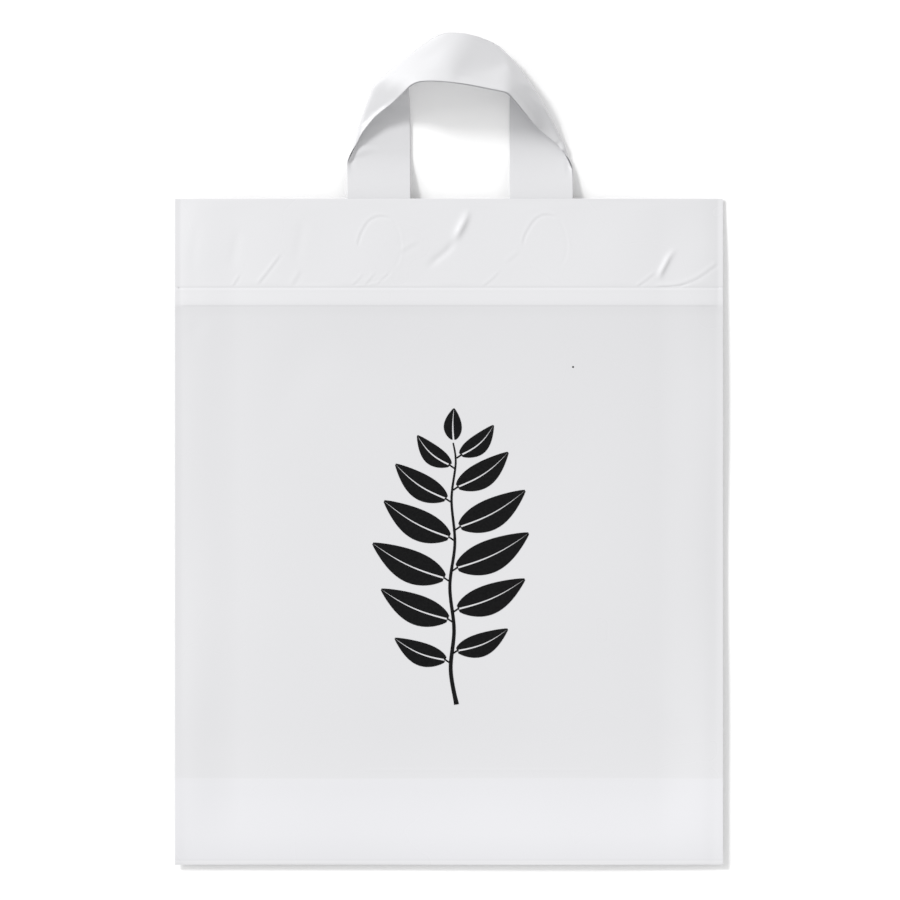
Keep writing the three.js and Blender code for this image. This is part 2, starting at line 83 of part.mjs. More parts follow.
  [-15.63, 219.59, 36.81, -15.4, 221.26, 35.13, -15.17, 222.95, 33.47, -14.95, 224.65, 31.82, -14.72, 226.34, 30.17, -14.48, 228.01, 28.48, -14.23, 229.64, 26.77, -13.98, 231.28, 25.06, -13.75, 232.99, 23.41, -13.57, 234.77, 21.84, -13.41, 236.61, 20.34, -13.27, 238.46, 18.86, -13.09, 240.27, 17.32, -12.83, 241.92, 15.62, -12.42, 243.33, 13.75, -11.84, 244.47, 11.73, -11.05, 245.28, 9.63],
  [-13.6, 219.74, 37.24, -13.38, 221.43, 35.58, -13.17, 223.16, 33.96, -12.96, 224.91, 32.36, -12.75, 226.63, 30.73, -12.52, 228.32, 29.07, -12.27, 229.97, 27.38, -12.02, 231.62, 25.68, -11.8, 233.32, 24.02, -11.61, 235.1, 22.45, -11.46, 236.94, 20.95, -11.31, 238.8, 19.48, -11.16, 240.65, 17.98, -10.94, 242.39, 16.37, -10.63, 243.94, 14.6, -10.15, 245.23, 12.65, -9.45, 246.17, 10.57],
  [-11.55, 219.81, 37.58, -11.34, 221.55, 35.97, -11.15, 223.33, 34.4, -10.95, 225.11, 32.84, -10.75, 226.87, 31.25, -10.54, 228.6, 29.63, -10.31, 230.28, 27.96, -10.07, 231.95, 26.28, -9.84, 233.65, 24.63, -9.65, 235.42, 23.05, -9.49, 237.25, 21.54, -9.35, 239.12, 20.07, -9.2, 240.98, 18.59, -9.02, 242.79, 17.06, -8.78, 244.47, 15.39, -8.39, 245.91, 13.53, -7.75, 246.91, 11.46],
  [-9.48, 219.8, 37.83, -9.29, 221.61, 36.29, -9.11, 223.43, 34.78, -8.92, 225.25, 33.25, -8.73, 227.05, 31.71, -8.54, 228.83, 30.14, -8.33, 230.56, 28.52, -8.1, 232.27, 26.88, -7.89, 233.98, 25.24, -7.7, 235.75, 23.66, -7.53, 237.57, 22.13, -7.37, 239.41, 20.63, -7.22, 241.26, 19.15, -7.06, 243.11, 17.66, -6.87, 244.9, 16.11, -6.59, 246.51, 14.37, -6.08, 247.73, 12.38],
  [-7.41, 219.73, 38, -7.23, 221.59, 36.53, -7.05, 223.46, 35.07, -6.88, 225.33, 33.59, -6.7, 227.17, 32.1, -6.51, 228.99, 30.57, -6.32, 230.78, 29.02, -6.12, 232.54, 27.43, -5.92, 234.29, 25.83, -5.73, 236.06, 24.25, -5.55, 237.86, 22.7, -5.38, 239.68, 21.17, -5.22, 241.51, 19.67, -5.06, 243.37, 18.19, -4.9, 245.22, 16.7, -4.7, 246.98, 15.11, -4.37, 248.46, 13.27],
  [-5.34, 219.62, 38.1, -5.16, 221.52, 36.69, -4.99, 223.43, 35.27, -4.82, 225.33, 33.85, -4.64, 227.21, 32.4, -4.47, 229.08, 30.92, -4.29, 230.92, 29.42, -4.11, 232.73, 27.89, -3.92, 234.53, 26.33, -3.74, 236.31, 24.77, -3.56, 238.11, 23.22, -3.38, 239.9, 21.67, -3.21, 241.71, 20.14, -3.04, 243.55, 18.63, -2.88, 245.42, 17.17, -2.72, 247.27, 15.68, -2.51, 248.97, 14.03],
  [-3.27, 219.47, 38.16, -3.09, 221.4, 36.77, -2.92, 223.34, 35.4, -2.75, 225.27, 34.01, -2.58, 227.18, 32.59, -2.41, 229.07, 31.16, -2.23, 230.94, 29.69, -2.06, 232.8, 28.21, -1.88, 234.63, 26.7, -1.71, 236.45, 25.17, -1.53, 238.26, 23.63, -1.35, 240.06, 22.09, -1.18, 241.86, 20.54, -1, 243.68, 19.01, -0.84, 245.53, 17.52, -0.68, 247.39, 16.06, -0.51, 249.22, 14.55],
  [-1.19, 219.29, 38.17, -1.03, 221.23, 36.8, -0.86, 223.18, 35.43, -0.68, 225.12, 34.05, -0.51, 227.04, 32.66, -0.34, 228.95, 31.24, -0.17, 230.84, 29.81, 0.01, 232.73, 28.36, 0.18, 234.6, 26.9, 0.35, 236.46, 25.41, 0.53, 238.29, 23.91, 0.7, 240.12, 22.39, 0.87, 241.94, 20.86, 1.05, 243.75, 19.32, 1.22, 245.57, 17.81, 1.38, 247.43, 16.33, 1.54, 249.31, 14.87],
  [0.88, 219.08, 38.12, 1.03, 220.99, 36.71, 1.2, 222.91, 35.32, 1.37, 224.84, 33.92, 1.54, 226.76, 32.53, 1.72, 228.68, 31.13, 1.89, 230.6, 29.73, 2.07, 232.51, 28.33, 2.25, 234.42, 26.91, 2.42, 236.31, 25.47, 2.6, 238.19, 24.01, 2.77, 240.05, 22.54, 2.94, 241.9, 21.05, 3.11, 243.73, 19.53, 3.28, 245.56, 18.02, 3.45, 247.41, 16.53, 3.61, 249.34, 15.14],
  [2.94, 218.82, 38, 3.06, 220.64, 36.46, 3.21, 222.51, 34.99, 3.37, 224.4, 33.57, 3.54, 226.33, 32.18, 3.73, 228.27, 30.82, 3.91, 230.21, 29.46, 4.1, 232.16, 28.1, 4.29, 234.1, 26.73, 4.47, 236.02, 25.34, 4.66, 237.94, 23.94, 4.83, 239.84, 22.52, 5.01, 241.73, 21.07, 5.18, 243.6, 19.61, 5.35, 245.45, 18.12, 5.52, 247.32, 16.65, 5.7, 249.25, 15.28],
  [5, 218.55, 37.82, 5.07, 220.23, 36.14, 5.18, 222.02, 34.57, 5.32, 223.89, 33.1, 5.49, 225.81, 31.7, 5.68, 227.76, 30.35, 5.88, 229.72, 29.03, 6.09, 231.69, 27.71, 6.29, 233.66, 26.38, 6.49, 235.62, 25.04, 6.68, 237.57, 23.69, 6.87, 239.51, 22.32, 7.06, 241.43, 20.94, 7.24, 243.34, 19.52, 7.41, 245.24, 18.09, 7.59, 247.13, 16.66, 7.78, 249.07, 15.3],
  [7.06, 218.27, 37.62, 7.09, 219.85, 35.84, 7.16, 221.56, 34.18, 7.28, 223.38, 32.64, 7.43, 225.27, 31.2, 7.61, 227.2, 29.83, 7.81, 229.17, 28.5, 8.02, 231.15, 27.2, 8.24, 233.14, 25.9, 8.45, 235.12, 24.61, 8.67, 237.1, 23.3, 8.87, 239.07, 21.98, 9.07, 241.03, 20.64, 9.27, 242.98, 19.29, 9.46, 244.91, 17.91, 9.65, 246.85, 16.54, 9.86, 248.85, 15.27],
  [9.1, 217.97, 37.39, 9.12, 219.51, 35.56, 9.17, 221.15, 33.84, 9.26, 222.91, 32.23, 9.38, 224.75, 30.73, 9.54, 226.66, 29.31, 9.73, 228.6, 27.96, 9.94, 230.58, 26.64, 10.16, 232.57, 25.35, 10.38, 234.57, 24.08, 10.61, 236.56, 22.8, 10.83, 238.56, 21.52, 11.05, 240.55, 20.23, 11.26, 242.52, 18.91, 11.46, 244.49, 17.58, 11.66, 246.45, 16.26, 11.89, 248.46, 15],
  [11.14, 217.65, 37.13, 11.15, 219.16, 35.29, 11.18, 220.76, 33.53, 11.25, 222.47, 31.87, 11.35, 224.27, 30.31, 11.49, 226.13, 28.83, 11.66, 228.05, 27.43, 11.85, 230.01, 26.08, 12.07, 231.99, 24.78, 12.29, 233.99, 23.5, 12.52, 235.99, 22.24, 12.76, 238, 20.99, 12.99, 240.01, 19.72, 13.21, 242, 18.44, 13.43, 243.99, 17.15, 13.65, 245.98, 15.87, 13.9, 248.03, 14.68],
  [13.17, 217.3, 36.85, 13.18, 218.81, 35.01, 13.2, 220.39, 33.23, 13.26, 222.06, 31.53, 13.34, 223.81, 29.92, 13.46, 225.64, 28.39, 13.6, 227.52, 26.94, 13.78, 229.45, 25.55, 13.98, 231.41, 24.22, 14.2, 233.4, 22.93, 14.43, 235.41, 21.67, 14.67, 237.42, 20.42, 14.9, 239.44, 19.17, 15.14, 241.45, 17.91, 15.36, 243.45, 16.64, 15.6, 245.46, 15.38, 15.85, 247.49, 14.18],
  [15.19, 216.93, 36.54, 15.2, 218.45, 34.71, 15.22, 220.02, 32.93, 15.27, 221.67, 31.21, 15.34, 223.38, 29.56, 15.44, 225.17, 27.98, 15.56, 227.01, 26.48, 15.72, 228.91, 25.05, 15.9, 230.85, 23.68, 16.11, 232.83, 22.36, 16.33, 234.83, 21.09, 16.57, 236.84, 19.85, 16.82, 238.86, 18.61, 17.05, 240.88, 17.36, 17.29, 242.89, 16.1, 17.52, 244.89, 14.84, 17.78, 246.93, 13.64],
  [17.21, 216.54, 36.23, 17.22, 218.08, 34.41, 17.24, 219.66, 32.63, 17.28, 221.29, 30.89, 17.34, 222.97, 29.21, 17.42, 224.72, 27.6, 17.53, 226.53, 26.05, 17.67, 228.39, 24.57, 17.83, 230.31, 23.16, 18.03, 232.27, 21.82, 18.25, 234.26, 20.54, 18.49, 236.27, 19.29, 18.73, 238.29, 18.05, 18.97, 240.31, 16.81, 19.2, 242.31, 15.54, 19.42, 244.3, 14.24, 19.63, 246.28, 12.95],
  [19.22, 216.15, 35.91, 19.24, 217.7, 34.11, 19.26, 219.29, 32.33, 19.3, 220.91, 30.59, 19.35, 222.58, 28.89, 19.42, 224.29, 27.24, 19.51, 226.06, 25.65, 19.63, 227.89, 24.12, 19.78, 229.78, 22.67, 19.96, 231.71, 21.3, 20.17, 233.7, 20, 20.41, 235.71, 18.74, 20.65, 237.73, 17.51, 20.9, 239.75, 16.27, 21.12, 241.74, 14.99, 21.31, 243.69, 13.63, 21.48, 245.61, 12.24],
  [21.24, 215.75, 35.59, 21.26, 217.33, 33.8, 21.29, 218.92, 32.03, 21.32, 220.54, 30.29, 21.37, 222.19, 28.57, 21.43, 223.88, 26.89, 21.5, 225.62, 25.26, 21.6, 227.41, 23.69, 21.73, 229.26, 22.2, 21.9, 231.17, 20.79, 22.1, 233.14, 19.47, 22.33, 235.15, 18.21, 22.58, 237.17, 16.98, 22.82, 239.19, 15.74, 23.03, 241.17, 14.42, 23.18, 243.07, 13, 23.27, 244.89, 11.47],
  [23.25, 215.36, 35.26, 23.28, 216.96, 33.5, 23.31, 218.57, 31.74, 23.35, 220.19, 30, 23.39, 221.83, 28.28, 23.44, 223.49, 26.57, 23.5, 225.19, 24.9, 23.58, 226.94, 23.29, 23.69, 228.75, 21.75, 23.84, 230.64, 20.3, 24.03, 232.59, 18.95, 24.26, 234.6, 17.68, 24.51, 236.62, 16.45, 24.74, 238.63, 15.19, 24.93, 240.58, 13.84, 25.04, 242.41, 12.33, 25.04, 244.12, 10.67],
  [25.26, 214.97, 34.94, 25.3, 216.59, 33.2, 25.33, 218.21, 31.46, 25.37, 219.85, 29.72, 25.41, 221.48, 28, 25.46, 223.13, 26.28, 25.51, 224.8, 24.58, 25.57, 226.5, 22.92, 25.66, 228.27, 21.32, 25.79, 230.12, 19.82, 25.97, 232.05, 18.44, 26.19, 234.05, 17.16, 26.44, 236.07, 15.93, 26.66, 238.05, 14.63, 26.81, 239.95, 13.2, 26.84, 241.7, 11.59, 26.71, 243.25, 9.79],
  [27.28, 214.58, 34.62, 27.32, 216.22, 32.9, 27.36, 217.86, 31.17, 27.4, 219.5, 29.45, 27.44, 221.15, 27.73, 27.49, 222.79, 26.01, 27.53, 224.44, 24.29, 27.58, 226.11, 22.59, 27.65, 227.82, 20.93, 27.75, 229.61, 19.37, 27.91, 231.51, 17.94, 28.13, 233.5, 16.65, 28.37, 235.51, 15.4, 28.55, 237.45, 14.04, 28.65, 239.27, 12.51, 28.59, 240.91, 10.77, 28.33, 242.31, 8.87],
  [29.29, 214.2, 34.3, 29.34, 215.85, 32.59, 29.38, 217.5, 30.87, 29.43, 219.15, 29.16, 29.47, 220.8, 27.44, 29.52, 222.45, 25.73, 29.56, 224.09, 24.01, 29.6, 225.74, 22.29, 29.65, 227.4, 20.59, 29.73, 229.14, 18.96, 29.87, 231, 17.48, 30.07, 232.97, 16.16, 30.29, 234.95, 14.86, 30.42, 236.81, 13.38, 30.43, 238.53, 11.74, 30.27, 240.04, 9.91, 29.9, 241.33, 7.94],
  [31.3, 213.79, 33.96, 31.34, 215.44, 32.25, 31.39, 217.09, 30.53, 31.43, 218.74, 28.82, 31.48, 220.4, 27.11, 31.53, 222.06, 25.41, 31.58, 223.72, 23.71, 31.62, 225.37, 21.99, 31.67, 227.02, 20.28, 31.73, 228.72, 18.61, 31.85, 230.53, 17.08, 32.03, 232.46, 15.7, 32.19, 234.35, 14.27, 32.23, 236.09, 12.64, 32.15, 237.7, 10.89, 31.85, 239.07, 8.97, 31.33, 240.21, 6.94],
  [33.27, 213.29, 33.52, 33.31, 214.94, 31.82, 33.36, 216.6, 30.1, 33.4, 218.25, 28.4, 33.45, 219.92, 26.69, 33.51, 221.59, 25, 33.57, 223.27, 23.32, 33.62, 224.95, 21.64, 33.68, 226.63, 19.96, 33.75, 228.33, 18.3, 33.85, 230.11, 16.73, 33.97, 231.92, 15.19, 34.01, 233.65, 13.56, 33.94, 235.26, 11.8, 33.77, 236.77, 9.98, 33.33, 238, 7.98, 32.64, 238.97, 5.92],
  [35.07, 212.52, 32.83, 35.17, 214.25, 31.19, 35.24, 215.94, 29.52, 35.3, 217.62, 27.83, 35.36, 219.3, 26.14, 35.42, 220.98, 24.46, 35.48, 222.67, 22.79, 35.55, 224.38, 21.13, 35.63, 226.09, 19.48, 35.7, 227.8, 17.82, 35.75, 229.5, 16.16, 35.76, 231.17, 14.45, 35.69, 232.77, 12.69, 35.55, 234.31, 10.88, 35.33, 235.78, 9.02, 34.72, 236.83, 6.97, 33.86, 237.64, 4.89],
  [36.53, 211.47, 31.8, 36.77, 213.29, 30.29, 36.94, 215.07, 28.71, 37.06, 216.81, 27.09, 37.14, 218.52, 25.43, 37.21, 220.22, 23.75, 37.28, 221.91, 22.08, 37.33, 223.6, 20.4, 37.38, 225.29, 18.72, 37.41, 226.96, 17.02, 37.4, 228.6, 15.29, 37.34, 230.2, 13.52, 37.23, 231.77, 11.73, 37.07, 233.28, 9.9, 36.8, 234.7, 8.01, 35.89, 235.47, 5.93, 34.77, 236.05, 3.91],
  [37.65, 210.27, 30.53, 38.07, 212.15, 29.13, 38.39, 214.01, 27.67, 38.62, 215.82, 26.14, 38.77, 217.59, 24.55, 38.87, 219.31, 22.9, 38.93, 221.01, 21.22, 38.97, 222.68, 19.52, 38.98, 224.33, 17.81, 38.97, 225.97, 16.07, 38.92, 227.58, 14.31, 38.85, 229.17, 12.54, 38.73, 230.72, 10.73, 38.5, 232.18, 8.87, 38.1, 233.48, 6.92, 36.74, 233.84, 4.98, 35.44, 234.29, 3.04],
  [38.66, 209.05, 29.19, 39.18, 210.96, 27.86, 39.63, 212.85, 26.48, 39.98, 214.72, 25.04, 40.25, 216.55, 23.54, 40.43, 218.32, 21.95, 40.51, 220.03, 20.29, 40.53, 221.69, 18.58, 40.52, 223.33, 16.84, 40.48, 224.94, 15.09, 40.42, 226.54, 13.32, 40.33, 228.11, 11.54, 40.2, 229.65, 9.72, 39.88, 231.03, 7.81, 39.3, 232.21, 5.81, 38.25, 233.04, 3.81, 37, 233.65, 1.84],
  [39.66, 207.83, 27.84, 40.22, 209.75, 26.53, 40.74, 211.65, 25.2, 41.2, 213.55, 23.83, 41.6, 215.43, 22.42, 41.89, 217.26, 20.93, 42.05, 219.03, 19.33, 42.08, 220.7, 17.63, 42.04, 222.31, 15.88, 41.99, 223.91, 14.11, 41.92, 225.5, 12.34, 41.82, 227.06, 10.54, 41.62, 228.54, 8.68, 41.07, 229.74, 6.69, 40.16, 230.68, 4.69, 38.74, 231.26, 2.85, 36.95, 231.63, 1.31],
  [40.68, 206.62, 26.5, 41.22, 208.53, 25.18, 41.75, 210.44, 23.86, 42.27, 212.34, 22.53, 42.79, 214.25, 21.2, 43.23, 216.14, 19.81, 43.52, 217.98, 18.32, 43.63, 219.7, 16.67, 43.57, 221.29, 14.91, 43.49, 222.87, 13.12, 43.41, 224.44, 11.34, 43.23, 225.94, 9.5, 42.83, 227.27, 7.56, 42, 228.27, 5.56, 40.74, 228.97, 3.65, 38.98, 229.36, 2.08, 36.87, 229.57, 0.97],
  [41.71, 205.41, 25.16, 42.18, 207.31, 23.81, 42.69, 209.21, 22.47, 43.23, 211.12, 21.15, 43.81, 213.04, 19.86, 44.39, 214.95, 18.57, 44.88, 216.85, 17.22, 45.13, 218.66, 15.69, 45.08, 220.26, 13.92, 44.97, 221.8, 12.12, 44.85, 223.35, 10.31, 44.52, 224.73, 8.4, 43.85, 225.86, 6.4, 42.69, 226.64, 4.47, 41.09, 227.13, 2.76, 39.05, 227.36, 1.53, 36.77, 227.49, 0.82],
  [42.72, 204.2, 23.82, 43.14, 206.09, 22.43, 43.62, 207.99, 21.08, 44.16, 209.9, 19.76, 44.75, 211.82, 18.48, 45.4, 213.74, 17.23, 46.07, 215.67, 16.01, 46.56, 217.57, 14.65, 46.56, 219.2, 12.92, 46.41, 220.71, 11.09, 46.21, 222.19, 9.23, 45.61, 223.38, 7.25, 44.62, 224.29, 5.28, 43.15, 224.87, 3.49, 41.26, 225.19, 2.06, 39.04, 225.32, 1.18, 36.69, 225.4, 0.79],
  [43.72, 202.98, 22.46, 44.1, 204.86, 21.06, 44.6, 206.77, 19.71, 45.18, 208.69, 18.42, 45.81, 210.61, 17.16, 46.48, 212.54, 15.93, 47.2, 214.48, 14.75, 47.92, 216.42, 13.57, 47.99, 218.09, 11.88, 47.76, 219.55, 10.01, 47.35, 220.88, 8.08, 46.49, 221.88, 6.1, 45.18, 222.58, 4.23, 43.43, 222.99, 2.66, 41.32, 223.18, 1.55, 39, 223.26, 0.99, 36.63, 223.32, 0.79],
  [44.69, 201.76, 21.1, 45.14, 203.66, 19.73, 45.75, 205.58, 18.46, 46.44, 207.52, 17.26, 47.14, 209.46, 16.06, 47.84, 211.39, 14.87, 48.56, 213.34, 13.7, 49.28, 215.28, 12.51, 49.35, 216.93, 10.8, 48.99, 218.3, 8.89, 48.34, 219.46, 6.91, 47.17, 220.26, 4.99, 45.57, 220.77, 3.3, 43.57, 221.02, 2.01, 41.32, 221.13, 1.22, 38.96, 221.19, 0.89, 36.58, 221.23, 0.79],
  [45.73, 200.55, 19.75, 46.39, 202.5, 18.55, 47.17, 204.46, 17.45, 47.96, 206.43, 16.37, 48.7, 208.38, 15.23, 49.41, 210.32, 14.05, 50.09, 212.25, 12.83, 50.65, 214.12, 11.46, 50.63, 215.71, 9.69, 50.07, 216.94, 7.73, 49.12, 217.9, 5.76, 47.66, 218.51, 3.98, 45.8, 218.86, 2.52, 43.63, 219.01, 1.54, 41.3, 219.07, 1.02, 38.93, 219.11, 0.83, 36.55, 219.15, 0.8],
  [46.85, 199.38, 18.43, 47.79, 201.37, 17.52, 48.69, 203.36, 16.57, 49.53, 205.35, 15.56, 50.31, 207.32, 14.46, 51.01, 209.26, 13.26, 51.61, 211.15, 11.94, 51.98, 212.93, 10.39, 51.76, 214.39, 8.52, 50.97, 215.47, 6.56, 49.72, 216.23, 4.67, 47.99, 216.67, 3.09, 45.92, 216.88, 1.92, 43.63, 216.96, 1.23, 41.27, 217, 0.91, 38.89, 217.03, 0.81, 36.51, 217.07, 0.8],
  [47.85, 198.26, 16.99, 48.94, 200.23, 16.22, 49.97, 202.23, 15.41, 50.94, 204.23, 14.54, 51.82, 206.22, 13.56, 52.56, 208.18, 12.41, 53.05, 210.02, 10.98, 53.21, 211.68, 9.28, 52.76, 212.99, 7.34, 51.71, 213.9, 5.41, 50.15, 214.46, 3.68, 48.18, 214.73, 2.36, 45.96, 214.85, 1.49, 43.62, 214.9, 1.04, 41.25, 214.93, 0.85, 38.87, 214.96, 0.8, 36.49, 214.99, 0.8],
  [48.76, 197.17, 15.47, 49.88, 199.14, 14.73, 50.98, 201.12, 13.98, 52.07, 203.09, 13.22, 53.14, 205.08, 12.44, 54.06, 207.07, 11.5, 54.43, 208.85, 9.95, 54.35, 210.37, 8.12, 53.63, 211.51, 6.15, 52.26, 212.2, 4.33, 50.43, 212.57, 2.84, 48.28, 212.73, 1.82, 45.97, 212.79, 1.22, 43.6, 212.83, 0.94, 41.22, 212.85, 0.82, 38.84, 212.88, 0.8, 36.46, 212.91, 0.8],
  [49.66, 196.09, 13.93, 50.76, 198.07, 13.18, 51.86, 200.04, 12.43, 52.98, 202.01, 11.71, 54.2, 203.96, 11.06, 55.45, 205.91, 10.48, 55.73, 207.63, 8.87, 55.36, 208.98, 6.94, 54.33, 209.91, 5, 52.63, 210.38, 3.38, 50.58, 210.61, 2.18, 48.31, 210.7, 1.45, 45.96, 210.73, 1.07, 43.58, 210.75, 0.89, 41.2, 210.78, 0.81, 38.82, 210.8, 0.8, 36.44, 210.83, 0.8],
  [50.59, 195, 12.43, 51.7, 196.98, 11.69, 52.84, 198.95, 10.97, 54.05, 200.9, 10.33, 55.37, 202.82, 9.81, 56.79, 204.71, 9.45, 56.93, 206.36, 7.73, 56.21, 207.49, 5.76, 54.8, 208.17, 3.95, 52.85, 208.47, 2.61, 50.65, 208.6, 1.71, 48.31, 208.64, 1.22, 45.94, 208.66, 0.98, 43.56, 208.68, 0.86, 41.18, 208.7, 0.8, 38.8, 208.72, 0.8, 36.42, 208.75, 0.8],
  [51.63, 193.89, 11.01, 52.84, 195.85, 10.38, 54.11, 197.78, 9.82, 55.46, 199.7, 9.4, 56.9, 201.58, 9.16, 58.11, 203.5, 8.4, 57.97, 204.98, 6.53, 56.85, 205.86, 4.62, 55.11, 206.32, 3.04, 52.97, 206.49, 2, 50.67, 206.55, 1.39, 48.3, 206.57, 1.09, 45.92, 206.59, 0.93, 43.54, 206.61, 0.85, 41.16, 206.63, 0.81, 38.78, 206.65, 0.8, 36.4, 206.67, 0.8],
  [52.81, 192.75, 9.72, 54.15, 194.67, 9.28, 55.54, 196.58, 8.91, 56.96, 198.47, 8.65, 58.4, 200.36, 8.44, 59.35, 202.24, 7.29, 58.81, 203.49, 5.32, 57.3, 204.11, 3.58, 55.29, 204.37, 2.32, 53.02, 204.46, 1.59, 50.67, 204.49, 1.2, 48.29, 204.5, 1, 45.91, 204.52, 0.89, 43.53, 204.54, 0.83, 41.14, 204.55, 0.8, 38.76, 204.57, 0.8, 36.38, 204.59, 0.8],
  [54.13, 191.59, 8.61, 55.57, 193.47, 8.36, 57.02, 195.36, 8.14, 58.46, 197.25, 7.91, 59.87, 199.15, 7.64, 60.45, 200.91, 6.11, 59.43, 201.86, 4.17, 57.57, 202.23, 2.72, 55.37, 202.36, 1.79, 53.03, 202.4, 1.32, 50.66, 202.42, 1.05, 48.28, 202.44, 0.9, 45.9, 202.45, 0.83, 43.51, 202.46, 0.81, 41.13, 202.48, 0.8, 38.75, 202.49, 0.8, 36.37, 202.51, 0.8],
  [55.56, 190.38, 7.69, 57.04, 192.24, 7.59, 58.52, 194.12, 7.45, 59.96, 196.03, 7.17, 61.28, 197.95, 6.71, 61.36, 199.48, 4.89, 59.83, 200.07, 3.15, 57.71, 200.26, 2.06, 55.4, 200.32, 1.45, 53.04, 200.34, 1.12, 50.66, 200.36, 0.92, 48.27, 200.37, 0.83, 45.89, 200.38, 0.8, 43.5, 200.39, 0.8, 41.12, 200.4, 0.8, 38.74, 200.41, 0.8, 36.36, 200.42, 0.8],
  [57.05, 189.15, 6.9, 58.45, 191.07, 6.63, 59.82, 192.99, 6.3, 61.22, 194.9, 6.04, 62.58, 196.72, 5.62, 61.96, 197.82, 3.73, 60.05, 198.15, 2.35, 57.77, 198.23, 1.62, 55.42, 198.27, 1.18, 53.04, 198.28, 0.96, 50.65, 198.29, 0.85, 48.27, 198.3, 0.81, 45.88, 198.31, 0.8, 43.49, 198.32, 0.8, 41.11, 198.33, 0.8, 38.73, 198.34, 0.8, 36.35, 198.34, 0.8],
  [58.64, 187.92, 6.33, 60.04, 189.85, 6.13, 61.44, 191.77, 5.89, 62.88, 193.68, 5.9, 63.78, 195.39, 4.5, 62.36, 196.02, 2.71, 60.14, 196.14, 1.82, 57.79, 196.18, 1.36, 55.42, 196.2, 1.05, 53.04, 196.21, 0.9, 50.65, 196.22, 0.83, 48.26, 196.23, 0.8, 45.87, 196.24, 0.8, 43.49, 196.24, 0.8, 41.1, 196.25, 0.8, 38.72, 196.26, 0.8, 36.34, 196.27, 0.8],
  [60.29, 186.7, 5.94, 61.71, 188.63, 5.94, 63.11, 190.56, 5.9, 64.47, 192.47, 5.33, 64.57, 193.82, 3.29, 62.5, 194.05, 2.05, 60.17, 194.09, 1.52, 57.8, 194.12, 1.15, 55.42, 194.13, 0.96, 53.03, 194.14, 0.86, 50.64, 194.15, 0.82, 48.25, 194.16, 0.8, 45.87, 194.16, 0.8, 43.48, 194.17, 0.8, 41.1, 194.18, 0.8, 38.72, 194.18, 0.8, 36.34, 194.19, 0.8],
  [61.97, 185.5, 5.66, 63.38, 187.43, 5.6, 64.77, 189.37, 5.63, 65.81, 191.16, 4.39, 64.85, 191.95, 2.3, 62.55, 192.01, 1.67, 60.19, 192.04, 1.26, 57.8, 192.06, 1.03, 55.42, 192.07, 0.9, 53.03, 192.07, 0.84, 50.64, 192.08, 0.81, 48.25, 192.09, 0.8, 45.86, 192.09, 0.8, 43.48, 192.1, 0.8, 41.1, 192.1, 0.8, 38.71, 192.11, 0.8, 36.33, 192.11, 0.8],
  [63.64, 184.49, 5.34, 65.03, 186.25, 5.42, 66.27, 188.14, 4.95, 66.8, 189.66, 3.25, 64.95, 189.94, 1.67, 62.58, 189.97, 1.34, 60.19, 189.98, 1.09, 57.8, 189.99, 0.95, 55.41, 190, 0.87, 53.02, 190.01, 0.83, 50.63, 190.01, 0.81, 48.25, 190.02, 0.8, 45.86, 190.02, 0.8, 43.48, 190.02, 0.8, 41.09, 190.03, 0.8, 38.71, 190.03, 0.8, 36.33, 190.04, 0.8],
  [64.38, 184.1, 3.8, 65.95, 185.44, 4.02, 67.2, 186.74, 3.82, 66.96, 187.69, 2.39, 64.96, 187.88, 1.41, 62.58, 187.9, 1.16, 60.19, 187.92, 1, 57.8, 187.92, 0.91, 55.41, 187.93, 0.85, 53.02, 187.94, 0.82, 50.63, 187.94, 0.81, 48.24, 187.94, 0.8, 45.86, 187.95, 0.8, 43.47, 187.95, 0.8, 41.09, 187.95, 0.8, 38.71, 187.96, 0.8, 36.33, 187.96, 0.8],
  [65.4, 182.58, 3.93, 67.06, 183.96, 3.93, 67.99, 185.09, 3.09, 67.15, 185.71, 1.78, 64.97, 185.82, 1.21, 62.58, 185.84, 1.03, 60.19, 185.85, 0.93, 57.79, 185.86, 0.87, 55.4, 185.86, 0.83, 53.01, 185.87, 0.81, 50.63, 185.87, 0.8, 48.24, 185.87, 0.8, 45.86, 185.87, 0.8, 43.47, 185.88, 0.8, 41.09, 185.88, 0.8, 38.71, 185.88, 0.8, 36.32, 185.88, 0.8],
  [66.57, 180.88, 4.14, 68.28, 182.38, 3.87, 68.69, 183.33, 2.48, 67.29, 183.71, 1.39, 64.97, 183.76, 1.08, 62.57, 183.77, 0.97, 60.18, 183.78, 0.89, 57.79, 183.79, 0.85, 55.4, 183.79, 0.82, 53.01, 183.79, 0.81, 50.62, 183.8, 0.8, 48.24, 183.8, 0.8, 45.85, 183.8, 0.8, 43.47, 183.8, 0.8, 41.09, 183.81, 0.8, 38.7, 183.81, 0.8, 36.32, 183.81, 0.8],
  [67.96, 179.36, 4.45, 69.36, 180.74, 3.5, 69.24, 181.49, 1.84, 67.33, 181.66, 1.21, 64.95, 181.69, 1.02, 62.56, 181.7, 0.92, 60.17, 181.71, 0.86, 57.78, 181.72, 0.83, 55.39, 181.72, 0.81, 53.01, 181.72, 0.8, 50.62, 181.73, 0.8, 48.23, 181.73, 0.8, 45.85, 181.73, 0.8, 43.47, 181.73, 0.8, 41.08, 181.73, 0.8, 38.7, 181.73, 0.8, 36.32, 181.73, 0.8],
  [69.04, 178.14, 3.3, 69.99, 178.99, 2.66, 69.46, 179.52, 1.26, 67.34, 179.61, 0.95, 64.94, 179.62, 0.9, 62.55, 179.63, 0.86, 60.16, 179.64, 0.83, 57.77, 179.65, 0.82, 55.39, 179.65, 0.81, 53, 179.65, 0.8, 50.62, 179.65, 0.8, 48.23, 179.65, 0.8, 45.85, 179.65, 0.8, 43.46, 179.66, 0.8, 41.08, 179.66, 0.8, 38.7, 179.66, 0.8, 36.32, 179.66, 0.8],
